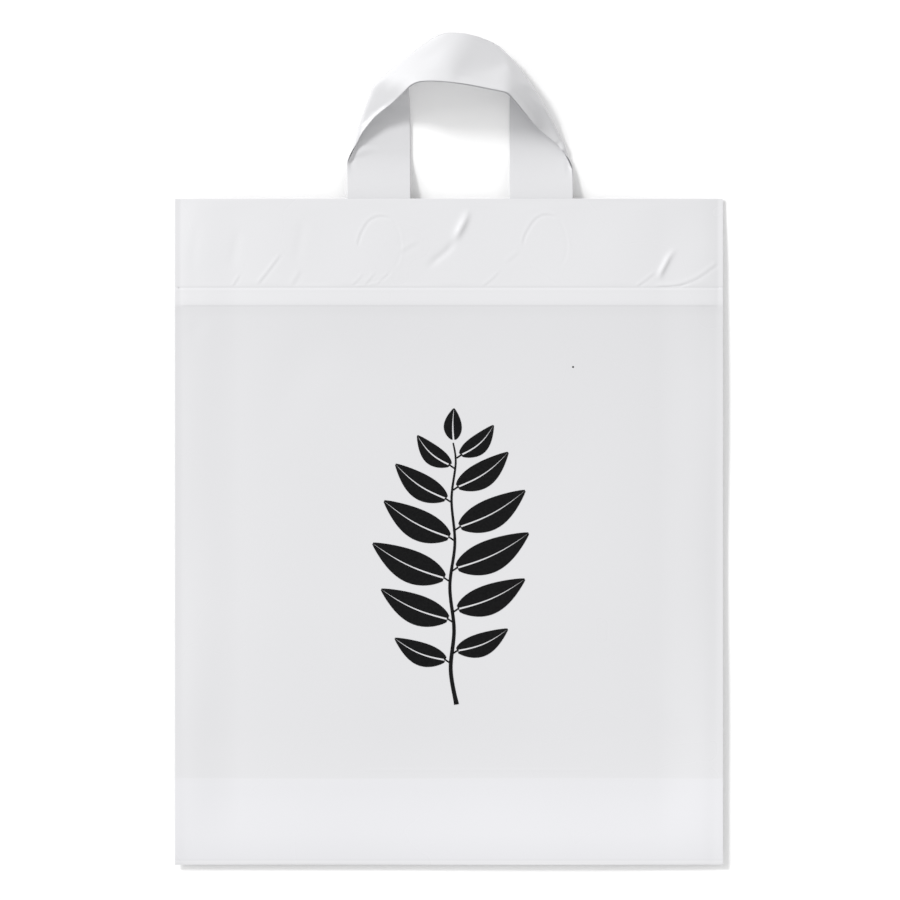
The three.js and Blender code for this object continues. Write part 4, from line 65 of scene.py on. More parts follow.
# Shared mid surface of the two loops: stations from the left leg over the loop to the right leg,
# points across each from the loop's outer edge to its inner edge, x, y, z in turn, hundredths of a mm.
LOOP_TABLE = (
    -6120, 15059, 80, -5882, 15060, 80, -5644, 15060, 80, -5405, 15060, 80, -5167, 15060, 80, -4929, 15060, 80, -4691, 15060, 80, -4453, 15060, 80, -4214, 15060, 80, -3976, 15060, 80, -3738, 15060, 80, -3500, 15060, 80, -3262, 15060, 80, -3024, 15060, 80, -2786, 15060, 80, -2547, 15060, 80, -2309, 15060, 80,
    -6120, 15268, 80, -5882, 15267, 80, -5643, 15267, 80, -5405, 15267, 80, -5167, 15267, 80, -4929, 15267, 80, -4691, 15267, 80, -4453, 15267, 80, -4214, 15267, 80, -3976, 15267, 80, -3738, 15267, 80, -3500, 15267, 80, -3262, 15267, 80, -3024, 15267, 80, -2786, 15267, 80, -2547, 15268, 80, -2309, 15268, 80,
    -6120, 15475, 80, -5882, 15475, 80, -5643, 15475, 80, -5405, 15475, 80, -5167, 15475, 80, -4929, 15475, 80, -4691, 15475, 80, -4453, 15475, 80, -4214, 15475, 80, -3976, 15475, 80, -3738, 15475, 80, -3500, 15475, 80, -3262, 15475, 80, -3024, 15475, 80, -2786, 15475, 80, -2547, 15475, 80, -2309, 15475, 80,
    -6119, 15683, 80, -5881, 15683, 80, -5643, 15682, 80, -5405, 15682, 80, -5167, 15682, 80, -4929, 15682, 80, -4691, 15682, 80, -4452, 15682, 80, -4214, 15682, 80, -3976, 15682, 80, -3738, 15682, 80, -3500, 15682, 80, -3262, 15682, 80, -3024, 15682, 80, -2786, 15683, 80, -2547, 15683, 80, -2309, 15683, 80,
    -6119, 15890, 81, -5881, 15890, 80, -5643, 15890, 80, -5405, 15890, 80, -5167, 15889, 80, -4929, 15889, 80, -4691, 15889, 80, -4452, 15889, 80, -4214, 15890, 80, -3976, 15890, 80, -3738, 15890, 80, -3500, 15890, 80, -3262, 15890, 80, -3024, 15890, 80, -2786, 15890, 80, -2547, 15890, 80, -2309, 15890, 80,
    -6119, 16098, 85, -5881, 16097, 82, -5643, 16097, 80, -5405, 16097, 80, -5167, 16097, 80, -4929, 16097, 80, -4690, 16097, 80, -4452, 16097, 80, -4214, 16097, 80, -3976, 16097, 80, -3738, 16097, 80, -3500, 16097, 80, -3262, 16097, 80, -3024, 16098, 80, -2786, 16098, 80, -2547, 16098, 80, -2309, 16098, 80,
    -6119, 16305, 95, -5881, 16305, 85, -5643, 16304, 80, -5405, 16304, 80, -5167, 16304, 80, -4929, 16304, 80, -4690, 16304, 80, -4452, 16304, 80, -4214, 16304, 80, -3976, 16304, 80, -3738, 16305, 80, -3500, 16305, 80, -3262, 16305, 80, -3024, 16305, 80, -2786, 16305, 80, -2547, 16305, 80, -2309, 16305, 80,
    -6118, 16513, 111, -5881, 16512, 89, -5643, 16512, 81, -5405, 16511, 80, -5167, 16511, 80, -4929, 16511, 80, -4690, 16512, 80, -4452, 16512, 80, -4214, 16512, 80, -3976, 16512, 80, -3738, 16512, 80, -3500, 16512, 80, -3262, 16513, 80, -3024, 16513, 80, -2786, 16513, 80, -2547, 16513, 80, -2309, 16513, 80,
    -6115, 16721, 128, -5881, 16719, 85, -5643, 16719, 80, -5405, 16719, 80, -5167, 16719, 80, -4928, 16719, 80, -4690, 16719, 80, -4452, 16719, 80, -4214, 16719, 80, -3976, 16719, 80, -3738, 16720, 80, -3500, 16720, 80, -3262, 16720, 80, -3024, 16720, 80, -2786, 16721, 80, -2548, 16721, 80, -2310, 16721, 80,
    -6108, 16928, 152, -5881, 16926, 78, -5643, 16926, 80, -5405, 16926, 80, -5167, 16926, 80, -4929, 16926, 80, -4690, 16926, 80, -4452, 16926, 80, -4214, 16926, 80, -3976, 16927, 80, -3738, 16927, 80, -3500, 16927, 80, -3262, 16928, 80, -3024, 16928, 80, -2786, 16928, 80, -2548, 16929, 80, -2310, 16929, 80,
    -6091, 17135, 185, -5881, 17132, 69, -5643, 17133, 79, -5405, 17133, 80, -5167, 17133, 80, -4929, 17133, 80, -4690, 17133, 80, -4452, 17133, 80, -4214, 17134, 80, -3976, 17134, 80, -3738, 17135, 80, -3500, 17135, 80, -3262, 17135, 80, -3024, 17136, 80, -2786, 17136, 80, -2548, 17136, 80, -2310, 17137, 80,
    -6048, 17333, 243, -5882, 17339, 68, -5644, 17340, 78, -5405, 17340, 79, -5167, 17340, 79, -4929, 17340, 80, -4690, 17340, 80, -4452, 17341, 80, -4214, 17341, 80, -3976, 17342, 80, -3738, 17342, 80, -3500, 17343, 80, -3262, 17343, 80, -3024, 17343, 80, -2786, 17344, 80, -2548, 17344, 80, -2310, 17345, 80,
    -5977, 17523, 302, -5871, 17544, 99, -5644, 17547, 77, -5405, 17547, 77, -5167, 17547, 77, -4929, 17547, 77, -4690, 17547, 79, -4452, 17548, 79, -4214, 17548, 80, -3976, 17549, 80, -3738, 17550, 80, -3500, 17550, 80, -3262, 17551, 80, -3024, 17551, 80, -2786, 17552, 80, -2548, 17552, 80, -2310, 17553, 80,
    -5883, 17712, 323, -5842, 17745, 150, -5642, 17747, 118, -5404, 17747, 127, -5166, 17751, 113, -4929, 17753, 95, -4691, 17754, 84, -4453, 17755, 80, -4214, 17756, 80, -3976, 17756, 80, -3738, 17757, 80, -3500, 17758, 80, -3262, 17758, 80, -3025, 17759, 80, -2787, 17760, 80, -2549, 17760, 80, -2311, 17761, 80,
    -5781, 17894, 338, -5799, 17942, 185, -5638, 17949, 91, -5406, 17954, 116, -5167, 17957, 123, -4929, 17959, 117, -4691, 17960, 104, -4453, 17962, 92, -4215, 17963, 84, -3977, 17964, 81, -3739, 17965, 80, -3501, 17965, 80, -3263, 17966, 80, -3025, 17967, 80, -2787, 17968, 80, -2549, 17968, 80, -2312, 17969, 80,
    -5679, 18075, 337, -5739, 18134, 214, -5632, 18151, 80, -5406, 18157, 74, -5168, 18161, 84, -4930, 18164, 89, -4692, 18166, 85, -4454, 18168, 80, -4216, 18170, 80, -3978, 18171, 80, -3740, 18172, 80, -3502, 18173, 80, -3264, 18174, 80, -3026, 18175, 80, -2788, 18176, 80, -2550, 18177, 80, -2312, 18178, 80,
    -5577, 18255, 329, -5675, 18324, 238, -5616, 18353, 93, -5409, 18362, 72, -5171, 18367, 77, -4932, 18371, 79, -4694, 18373, 79, -4456, 18375, 79, -4217, 18377, 80, -3979, 18378, 80, -3741, 18380, 80, -3503, 18381, 80, -3265, 18382, 80, -3027, 18383, 80, -2789, 18384, 80, -2551, 18385, 80, -2313, 18386, 80,
    -5472, 18433, 319, -5604, 18513, 261, -5580, 18551, 131, -5409, 18565, 95, -5174, 18571, 111, -4935, 18575, 112, -4696, 18578, 107, -4457, 18581, 99, -4219, 18583, 90, -3980, 18585, 84, -3742, 18587, 81, -3504, 18588, 80, -3266, 18590, 80, -3028, 18591, 80, -2790, 18592, 80, -2552, 18593, 80, -2314, 18595, 80,
    -5349, 18604, 318, -5529, 18701, 280, -5535, 18744, 159, -5406, 18767, 86, -5176, 18774, 78, -4937, 18779, 86, -4698, 18784, 90, -4459, 18787, 89, -4221, 18790, 85, -3982, 18793, 82, -3744, 18794, 80, -3505, 18796, 80, -3267, 18798, 80, -3029, 18799, 80, -2791, 18800, 80, -2553, 18802, 81, -2316, 18803, 81,
    -5264, 18795, 310, -5446, 18881, 276, -5493, 18935, 183, -5396, 18968, 98, -5180, 18980, 74, -4940, 18985, 78, -4701, 18990, 79, -4462, 18994, 80, -4223, 18997, 80, -3984, 19000, 80, -3746, 19002, 80, -3507, 19004, 80, -3269, 19005, 80, -3031, 19007, 80, -2793, 19009, 81, -2555, 19010, 82, -2317, 19012, 83,
    -5215, 18975, 326, -5393, 19047, 299, -5465, 19116, 224, -5392, 19167, 123, -5184, 19185, 69, -4944, 19191, 76, -4705, 19196, 79, -4465, 19200, 79, -4226, 19204, 80, -3987, 19207, 80, -3748, 19209, 80, -3510, 19211, 80, -3271, 19213, 80, -3033, 19215, 81, -2795, 19217, 82, -2557, 19219, 84, -2319, 19221, 85,
    -5220, 19062, 447, -5382, 19166, 411, -5460, 19282, 309, -5408, 19366, 168, -5188, 19390, 90, -4948, 19397, 78, -4708, 19402, 79, -4469, 19407, 81, -4229, 19410, 81, -3990, 19413, 80, -3751, 19416, 80, -3512, 19419, 80, -3274, 19421, 81, -3035, 19423, 83, -2797, 19425, 85, -2559, 19428, 87, -2322, 19430, 89,
    -5109, 19175, 445, -5277, 19311, 438, -5424, 19446, 407, -5393, 19549, 247, -5190, 19588, 146, -4952, 19600, 116, -4712, 19608, 101, -4473, 19613, 89, -4233, 19617, 82, -3994, 19620, 79, -3754, 19623, 79, -3515, 19626, 80, -3276, 19629, 84, -3038, 19631, 87, -2800, 19634, 90, -2562, 19637, 92, -2325, 19640, 95,
    -5000, 19270, 577, -5182, 19430, 564, -5340, 19591, 517, -5360, 19719, 347, -5191, 19782, 214, -4960, 19804, 125, -4719, 19812, 80, -4477, 19818, 76, -4237, 19823, 79, -3998, 19827, 80, -3758, 19830, 83, -3519, 19833, 89, -3280, 19836, 94, -3042, 19839, 96, -2804, 19842, 97, -2566, 19845, 100, -2328, 19848, 105,
    -4864, 19425, 592, -5046, 19582, 597, -5217, 19739, 576, -5283, 19865, 458, -5148, 19919, 343, -4931, 19957, 260, -4719, 20003, 158, -4483, 20018, 128, -4243, 20026, 115, -4003, 20031, 109, -3763, 20035, 110, -3523, 20039, 112, -3284, 20043, 110, -3046, 20047, 108, -2808, 20051, 109, -2570, 20054, 114, -2332, 20057, 121,
    -4728, 19582, 600, -4912, 19737, 611, -5095, 19893, 607, -5223, 20030, 536, -5167, 20106, 372, -4967, 20160, 276, -4728, 20195, 228, -4487, 20212, 199, -4247, 20221, 181, -4007, 20227, 172, -3768, 20235, 159, -3529, 20244, 141, -3290, 20250, 127, -3051, 20255, 123, -2812, 20258, 128, -2574, 20261, 137, -2336, 20264, 147,
    -4595, 19742, 590, -4781, 19895, 587, -4966, 20048, 588, -5128, 20190, 594, -5129, 20279, 461, -4964, 20323, 390, -4724, 20345, 367, -4485, 20374, 325, -4248, 20402, 279, -4012, 20424, 232, -3776, 20440, 183, -3537, 20450, 155, -3297, 20456, 148, -3057, 20460, 152, -2818, 20463, 162, -2579, 20466, 175, -2342, 20469, 190,
    -4492, 19920, 581, -4652, 20054, 587, -4836, 20205, 604, -5010, 20344, 618, -5073, 20447, 532, -4968, 20514, 429, -4750, 20547, 354, -4514, 20575, 301, -4275, 20602, 256, -4032, 20627, 222, -3788, 20643, 203, -3545, 20652, 197, -3304, 20656, 201, -3064, 20660, 210, -2825, 20662, 223, -2587, 20664, 241, -2349, 20665, 262,
    -4415, 20051, 619, -4552, 20182, 619, -4729, 20339, 627, -4912, 20481, 652, -5012, 20600, 619, -4957, 20695, 511, -4753, 20734, 439, -4514, 20752, 404, -4274, 20766, 378, -4033, 20780, 357, -3792, 20795, 340, -3552, 20812, 325, -3313, 20829, 313, -3074, 20838, 314, -2836, 20838, 334, -2599, 20834, 360, -2363, 20830, 388,
    -4380, 20044, 763, -4527, 20194, 775, -4691, 20370, 788, -4852, 20552, 798, -4960, 20729, 756, -4951, 20866, 621, -4746, 20896, 563, -4511, 20917, 527, -4275, 20939, 492, -4038, 20961, 456, -3802, 20984, 423, -3563, 21002, 405, -3323, 21012, 408, -3085, 21011, 430, -2848, 21001, 463, -2613, 20991, 496, -2376, 20986, 525,
    -4264, 20095, 913, -4413, 20285, 905, -4560, 20475, 892, -4707, 20666, 879, -4850, 20856, 868, -4909, 21023, 742, -4762, 21096, 600, -4525, 21116, 582, -4291, 21141, 527, -4053, 21163, 497, -3813, 21179, 490, -3572, 21184, 505, -3335, 21176, 534, -3099, 21162, 571, -2863, 21151, 605, -2627, 21145, 635, -2390, 21142, 660,
    -4101, 20221, 910, -4249, 20410, 906, -4396, 20600, 902, -4543, 20790, 902, -4689, 20980, 904, -4821, 21166, 867, -4779, 21292, 673, -4548, 21319, 586, -4304, 21340, 573, -4063, 21346, 592, -3823, 21342, 617, -3587, 21327, 653, -3350, 21316, 686, -3113, 21311, 715, -2876, 21310, 738, -2638, 21313, 756, -2400, 21316, 773,
    -3938, 20348, 915, -4086, 20536, 920, -4234, 20725, 926, -4381, 20915, 933, -4530, 21103, 945, -4681, 21289, 968, -4730, 21458, 804, -4554, 21510, 656, -4318, 21480, 720, -4077, 21476, 738, -3838, 21478, 766, -3599, 21483, 789, -3360, 21490, 799, -3121, 21496, 807, -2883, 21503, 814, -2645, 21509, 822, -2408, 21516, 830,
    -3780, 20469, 969, -3929, 20656, 981, -4078, 20843, 992, -4227, 21030, 1006, -4376, 21218, 1020, -4521, 21408, 1030, -4640, 21603, 940, -4537, 21701, 746, -4304, 21678, 681, -4071, 21659, 661, -3836, 21667, 694, -3600, 21677, 718, -3363, 21689, 742, -3126, 21699, 762, -2888, 21707, 779, -2650, 21715, 793, -2412, 21722, 806,
    -3630, 20583, 1057, -3779, 20770, 1067, -3926, 20959, 1072, -4071, 21148, 1074, -4215, 21339, 1071, -4357, 21531, 1062, -4501, 21722, 1054, -4467, 21865, 866, -4287, 21883, 701, -4068, 21860, 602, -3831, 21838, 574, -3593, 21833, 581, -3358, 21848, 609, -3123, 21868, 642, -2887, 21883, 668, -2650, 21896, 691, -2413, 21907, 712,
    -3489, 20690, 1168, -3635, 20879, 1168, -3777, 21071, 1162, -3919, 21263, 1154, -4062, 21455, 1149, -4209, 21644, 1150, -4358, 21830, 1160, -4345, 21993, 988, -4221, 22056, 793, -4042, 22064, 631, -3825, 22041, 529, -3592, 22017, 482, -3353, 22009, 478, -3116, 22018, 499, -2881, 22037, 530, -2645, 22053, 556, -2409, 22068, 581,
    -3362, 20788, 1301, -3506, 20978, 1296, -3646, 21172, 1286, -3787, 21365, 1276, -3929, 21557, 1269, -4073, 21747, 1267, -4219, 21936, 1271, -4206, 22104, 1104, -4115, 22198, 905, -3980, 22244, 712, -3797, 22244, 555, -3584, 22222, 448, -3352, 22199, 393, -3114, 22188, 378, -2876, 22191, 391, -2639, 22204, 414, -2403, 22220, 440,
    -3252, 20876, 1454, -3398, 21065, 1450, -3539, 21257, 1441, -3681, 21449, 1433, -3824, 21639, 1428, -3969, 21828, 1425, -4078, 22038, 1386, -4054, 22200, 1215, -3983, 22314, 1019, -3883, 22395, 818, -3738, 22429, 629, -3555, 22426, 472, -3342, 22404, 363, -3112, 22381, 303, -2875, 22368, 281, -2636, 22366, 284, -2399, 22375, 301,
    -3155, 20955, 1622, -3304, 21141, 1619, -3448, 21331, 1612, -3592, 21521, 1606, -3733, 21713, 1598, -3856, 21916, 1575, -3927, 22131, 1497, -3898, 22289, 1322, -3837, 22414, 1130, -3757, 22517, 931, -3644, 22583, 730, -3497, 22612, 543, -3313, 22609, 387, -3101, 22587, 278, -2872, 22564, 214, -2636, 22548, 184, -2397, 22541, 177,
    -3069, 21027, 1798, -3217, 21213, 1793, -3361, 21403, 1786, -3503, 21595, 1777, -3631, 21795, 1757, -3728, 22008, 1709, -3770, 22218, 1603, -3738, 22374, 1427, -3685, 22508, 1238, -3617, 22624, 1042, -3522, 22710, 841, -3406, 22771, 641, -3257, 22797, 454, -3072, 22792, 301, -2858, 22771, 194, -2631, 22747, 125, -2398, 22724, 78,
    -2988, 21096, 1978, -3132, 21285, 1969, -3273, 21477, 1958, -3405, 21675, 1941, -3517, 21883, 1906, -3589, 22099, 1833, -3607, 22299, 1705, -3575, 22456, 1530, -3530, 22598, 1345, -3471, 22724, 1152, -3385, 22820, 952, -3286, 22899, 750, -3169, 22959, 550, -3018, 22982, 365, -2829, 22975, 219, -2611, 22953, 123, -2378, 22930, 79,
    -2911, 21164, 2160, -3047, 21358, 2145, -3181, 21555, 2127, -3301, 21759, 2099, -3392, 21973, 2044, -3439, 22186, 1948, -3440, 22376, 1804, -3410, 22534, 1630, -3371, 22683, 1449, -3321, 22820, 1261, -3244, 22926, 1062, -3148, 23008, 861, -3052, 23090, 659, -2936, 23149, 458, -2782, 23170, 275, -2587, 23159, 137, -2358, 23136, 72,
    -2835, 21233, 2342, -2961, 21433, 2318, -3084, 21635, 2291, -3188, 21846, 2249, -3256, 22062, 2173, -3281, 22268, 2055, -3270, 22448, 1900, -3241, 22608, 1727, -3208, 22764, 1551, -3167, 22911, 1368, -3101, 23029, 1172, -3007, 23113, 971, -2911, 23195, 769, -2819, 23282, 567, -2705, 23342, 365, -2549, 23359, 184, -2342, 23343, 61,
    -2757, 21306, 2523, -2872, 21511, 2488, -2981, 21719, 2449, -3064, 21935, 2389, -3109, 22148, 2291, -3115, 22344, 2156, -3097, 22517, 1993, -3069, 22679, 1821, -3041, 22840, 1649, -3007, 22995, 1472, -2953, 23127, 1282, -2868, 23221, 1080, -2770, 23300, 878, -2677, 23385, 676, -2587, 23474, 474, -2473, 23534, 272, -2318, 23548, 87,
    -2676, 21383, 2700, -2776, 21593, 2653, -2868, 21807, 2599, -2928, 22023, 2518, -2951, 22229, 2400, -2944, 22414, 2251, -2921, 22583, 2084, -2895, 22746, 1913, -2869, 22911, 1744, -2842, 23074, 1572, -2800, 23219, 1389, -2729, 23329, 1190, -2637, 23414, 988, -2541, 23496, 785, -2440, 23570, 583, -2341, 23651, 383, -2227, 23710, 181,
    -2589, 21464, 2872, -2673, 21679, 2810, -2743, 21895, 2738, -2780, 22107, 2636, -2785, 22303, 2500, -2769, 22480, 2341, -2744, 22645, 2172, -2718, 22810, 2002, -2695, 22978, 1835, -2671, 23145, 1667, -2638, 23302, 1491, -2582, 23430, 1298, -2495, 23520, 1096, -2384, 23576, 893, -2272, 23628, 690, -2176, 23716, 492, -2079, 23803, 293,
    -2493, 21551, 3036, -2558, 21767, 2958, -2604, 21982, 2865, -2620, 22186, 2742, -2611, 22370, 2592, -2589, 22540, 2426, -2564, 22705, 2256, -2539, 22871, 2087, -2516, 23040, 1921, -2494, 23211, 1757, -2469, 23376, 1588, -2427, 23521, 1404, -2348, 23619, 1202, -2221, 23644, 1001, -2104, 23685, 797, -1996, 23743, 592, -1894, 23810, 386,
    -2387, 21641, 3192, -2428, 21855, 3094, -2451, 22063, 2979, -2449, 22255, 2838, -2431, 22430, 2677, -2406, 22595, 2508, -2380, 22759, 2337, -2356, 22926, 2169, -2334, 23096, 2004, -2313, 23269, 1841, -2292, 23441, 1678, -2262, 23601, 1505, -2201, 23719, 1307, -2084, 23759, 1103, -1969, 23805, 900, -1856, 23854, 697, -1744, 23905, 492,
    -2266, 21733, 3335, -2282, 21938, 3215, -2283, 22134, 3079, -2268, 22314, 2922, -2245, 22481, 2755, -2219, 22645, 2583, -2194, 22809, 2413, -2170, 22976, 2245, -2148, 23146, 2080, -2128, 23320, 1919, -2109, 23497, 1760, -2086, 23667, 1596, -2045, 23812, 1410, -1967, 23899, 1201, -1874, 23965, 992, -1777, 24025, 783, -1675, 24082, 575,
    -2122, 21819, 3458, -2117, 22011, 3316, -2103, 22192, 3163, -2081, 22362, 2997, -2055, 22526, 2826, -2029, 22689, 2654, -2004, 22853, 2484, -1980, 23020, 2315, -1958, 23190, 2151, -1938, 23366, 1991, -1921, 23544, 1835, -1901, 23720, 1676, -1869, 23878, 1500, -1812, 23995, 1300, -1735, 24082, 1091, -1648, 24155, 881, -1559, 24224, 671,
    -1952, 21888, 3556, -1934, 22065, 3398, -1912, 22236, 3233, -1888, 22402, 3064, -1863, 22566, 2893, -1837, 22729, 2721, -1811, 22892, 2550, -1787, 23058, 2381, -1765, 23229, 2217, -1746, 23406, 2059, -1729, 23587, 1905, -1712, 23767, 1750, -1686, 23934, 1583, -1642, 24070, 1392, -1577, 24175, 1188, -1496, 24255, 979, -1404, 24320, 768,
    -1762, 21933, 3628, -1739, 22102, 3461, -1716, 22269, 3293, -1693, 22436, 3125, -1668, 22602, 2956, -1643, 22766, 2786, -1617, 22929, 2614, -1593, 23094, 2444, -1570, 23265, 2280, -1552, 23442, 2123, -1536, 23625, 1971, -1521, 23809, 1820, -1500, 23983, 1660, -1466, 24136, 1480, -1414, 24260, 1283, -1342, 24354, 1076, -1251, 24419, 866,
    -1563, 21959, 3681, -1540, 22126, 3513, -1517, 22295, 3347, -1495, 22465, 3182, -1472, 22634, 3017, -1448, 22801, 2848, -1423, 22964, 2677, -1398, 23128, 2506, -1375, 23299, 2341, -1357, 23477, 2184, -1341, 23661, 2034, -1327, 23846, 1886, -1309, 24027, 1732, -1283, 24192, 1562, -1242, 24333, 1375, -1184, 24447, 1173, -1105, 24528, 963,
    -1360, 21974, 3724, -1338, 22143, 3558, -1317, 22316, 3396, -1296, 22491, 3236, -1275, 22663, 3073, -1252, 22832, 2907, -1227, 22997, 2738, -1202, 23162, 2568, -1180, 23332, 2402, -1161, 23510, 2245, -1146, 23694, 2095, -1131, 23880, 1948, -1116, 24065, 1798, -1094, 24239, 1637, -1063, 24394, 1460, -1015, 24523, 1265, -945, 24617, 1057,
    -1155, 21981, 3758, -1134, 22155, 3597, -1115, 22333, 3440, -1095, 22511, 3284, -1075, 22687, 3125, -1054, 22860, 2963, -1031, 23028, 2796, -1007, 23195, 2628, -984, 23365, 2463, -965, 23542, 2305, -949, 23725, 2154, -935, 23912, 2007, -920, 24098, 1859, -902, 24279, 1706, -878, 24447, 1539, -839, 24591, 1353, -775, 24691, 1146,
    -948, 21980, 3783, -929, 22161, 3629, -911, 22343, 3478, -892, 22525, 3325, -873, 22705, 3171, -854, 22883, 3014, -833, 23056, 2852, -810, 23227, 2688, -789, 23398, 2524, -770, 23575, 2366, -753, 23757, 2213, -737, 23941, 2063, -722, 24126, 1915, -706, 24311, 1766, -687, 24490, 1611, -659, 24651, 1437, -608, 24773, 1238,
    -741, 21973, 3800, -723, 22159, 3653, -705, 22346, 3507, -688, 22533, 3359, -670, 22717, 3210, -651, 22899, 3057, -632, 23078, 2902, -612, 23254, 2743, -592, 23429, 2583, -573, 23606, 2425, -555, 23786, 2270, -538, 23968, 2117, -522, 24151, 1967, -506, 24337, 1819, -490, 24522, 1670, -470, 24698, 1511, -437, 24846, 1327,
    -534, 21962, 3810, -516, 22152, 3669, -499, 22343, 3527, -482, 22533, 3385, -464, 22721, 3240, -447, 22908, 3092, -429, 23092, 2942, -411, 23273, 2789, -392, 23453, 2633, -374, 23631, 2477, -356, 23811, 2322, -338, 23990, 2167, -321, 24171, 2014, -304, 24355, 1863, -288, 24542, 1717, -272, 24727, 1568, -251, 24897, 1403,
    -327, 21947, 3816, -309, 22140, 3677, -292, 22334, 3540, -275, 22527, 3401, -258, 22718, 3259, -241, 22907, 3116, -223, 23094, 2969, -206, 23280, 2821, -188, 23463, 2670, -171, 23645, 2517, -153, 23826, 2363, -135, 24006, 2209, -118, 24186, 2054, -100, 24368, 1901, -84, 24553, 1752, -68, 24739, 1606, -51, 24922, 1455,
    -119, 21929, 3817, -103, 22123, 3680, -86, 22318, 3543, -68, 22512, 3405, -51, 22704, 3266, -34, 22895, 3124, -17, 23084, 2981, 1, 23273, 2836, 18, 23460, 2690, 35, 23646, 2541, 53, 23829, 2391, 70, 24012, 2239, 87, 24194, 2086, 105, 24375, 1932, 122, 24557, 1781, 138, 24743, 1633, 154, 24931, 1487,
    88, 21908, 3812, 103, 22099, 3671, 120, 22291, 3532, 137, 22484, 3392, 154, 22676, 3253, 172, 22868, 3113, 189, 23060, 2973, 207, 23251, 2833, 225, 23442, 2691, 242, 23631, 2547, 260, 23819, 2401, 277, 24005, 2254, 294, 24190, 2105, 311, 24373, 1953, 328, 24556, 1802, 345, 24741, 1653, 361, 24934, 1514,
    294, 21882, 3800, 306, 22064, 3646, 321, 22251, 3499, 337, 22440, 3357, 354, 22633, 3218, 373, 22827, 3082, 391, 23021, 2946, 410, 23216, 2810, 429, 23410, 2673, 447, 23602, 2534, 466, 23794, 2394, 483, 23984, 2252, 501, 24173, 2107, 518, 24360, 1961, 535, 24545, 1812, 552, 24732, 1665, 570, 24925, 1528,
    500, 21855, 3782, 507, 22023, 3614, 518, 22202, 3457, 532, 22389, 3310, 549, 22581, 3170, 568, 22776, 3035, 588, 22972, 2903, 609, 23169, 2771, 629, 23366, 2638, 649, 23562, 2504, 668, 23757, 2369, 687, 23951, 2232, 706, 24143, 2094, 724, 24334, 1952, 741, 24524, 1809, 759, 24713, 1666, 778, 24907, 1530,
    706, 21827, 3762, 709, 21985, 3584, 716, 22156, 3418, 728, 22338, 3264, 743, 22527, 3120, 761, 22720, 2983, 781, 22917, 2850, 802, 23115, 2720, 824, 23314, 2590, 845, 23512, 2461, 867, 23710, 2330, 887, 23907, 2198, 907, 24103, 2064, 927, 24298, 1929, 946, 24491, 1791, 965, 24685, 1654, 986, 24885, 1527,
    910, 21797, 3739, 912, 21951, 3556, 917, 22115, 3384, 926, 22291, 3223, 938, 22475, 3073, 954, 22666, 2931, 973, 22860, 2796, 994, 23058, 2664, 1016, 23257, 2535, 1038, 23457, 2408, 1061, 23656, 2280, 1083, 23856, 2152, 1105, 24055, 2023, 1126, 24252, 1891, 1146, 24449, 1758, 1166, 24645, 1626, 1189, 24846, 1500,
    1114, 21765, 3713, 1115, 21916, 3529, 1118, 22076, 3353, 1125, 22247, 3187, 1135, 22427, 3031, 1149, 22613, 2883, 1166, 22805, 2743, 1185, 23001, 2608, 1207, 23199, 2478, 1229, 23399, 2350, 1252, 23599, 2224, 1276, 23800, 2099, 1299, 24001, 1972, 1321, 24200, 1844, 1343, 24399, 1715, 1365, 24598, 1587, 1390, 24803, 1468,
    1317, 21730, 3685, 1318, 21881, 3501, 1320, 22039, 3323, 1326, 22206, 3153, 1334, 22381, 2992, 1346, 22564, 2839, 1360, 22752, 2694, 1378, 22945, 2555, 1398, 23141, 2422, 1420, 23340, 2293, 1443, 23541, 2167, 1467, 23742, 2042, 1490, 23944, 1917, 1514, 24145, 1791, 1536, 24345, 1664, 1560, 24546, 1538, 1585, 24749, 1418,
    1519, 21693, 3654, 1520, 21845, 3471, 1522, 22002, 3293, 1527, 22167, 3121, 1534, 22338, 2956, 1544, 22517, 2798, 1556, 22701, 2648, 1572, 22891, 2505, 1590, 23085, 2368, 1611, 23283, 2236, 1633, 23483, 2109, 1657, 23684, 1985, 1682, 23886, 1861, 1705, 24088, 1736, 1729, 24289, 1610, 1752, 24489, 1484, 1778, 24693, 1364,
    1721, 21654, 3623, 1722, 21808, 3441, 1724, 21966, 3263, 1728, 22129, 3089, 1734, 22297, 2921, 1742, 22472, 2760, 1753, 22653, 2605, 1767, 22839, 2457, 1783, 23031, 2316, 1803, 23227, 2182, 1825, 23426, 2054, 1849, 23627, 1929, 1873, 23829, 1805, 1897, 24031, 1681, 1920, 24231, 1554, 1942, 24430, 1424, 1963, 24628, 1295,
    1922, 21615, 3591, 1924, 21770, 3411, 1926, 21929, 3233, 1930, 22091, 3059, 1935, 22258, 2889, 1942, 22429, 2724, 1951, 22606, 2565, 1963, 22789, 2412, 1978, 22978, 2267, 1996, 23171, 2130, 2017, 23370, 2000, 2041, 23571, 1874, 2065, 23773, 1751, 2090, 23975, 1627, 2112, 24174, 1499, 2131, 24369, 1363, 2148, 24561, 1224,
    2124, 21575, 3559, 2126, 21733, 3380, 2129, 21892, 3203, 2132, 22054, 3029, 2137, 22219, 2857, 2143, 22388, 2689, 2150, 22562, 2526, 2160, 22741, 2369, 2173, 22926, 2220, 2190, 23117, 2079, 2210, 23314, 1947, 2233, 23515, 1821, 2258, 23717, 1698, 2282, 23919, 1574, 2303, 24117, 1442, 2318, 24307, 1300, 2327, 24489, 1147,
    2325, 21536, 3526, 2328, 21696, 3350, 2331, 21857, 3174, 2335, 22019, 3000, 2339, 22183, 2828, 2344, 22349, 2657, 2350, 22519, 2490, 2358, 22694, 2329, 2369, 22875, 2175, 2384, 23064, 2030, 2403, 23259, 1895, 2426, 23460, 1768, 2451, 23662, 1645, 2474, 23863, 1519, 2493, 24058, 1384, 2504, 24241, 1233, 2504, 24412, 1067,
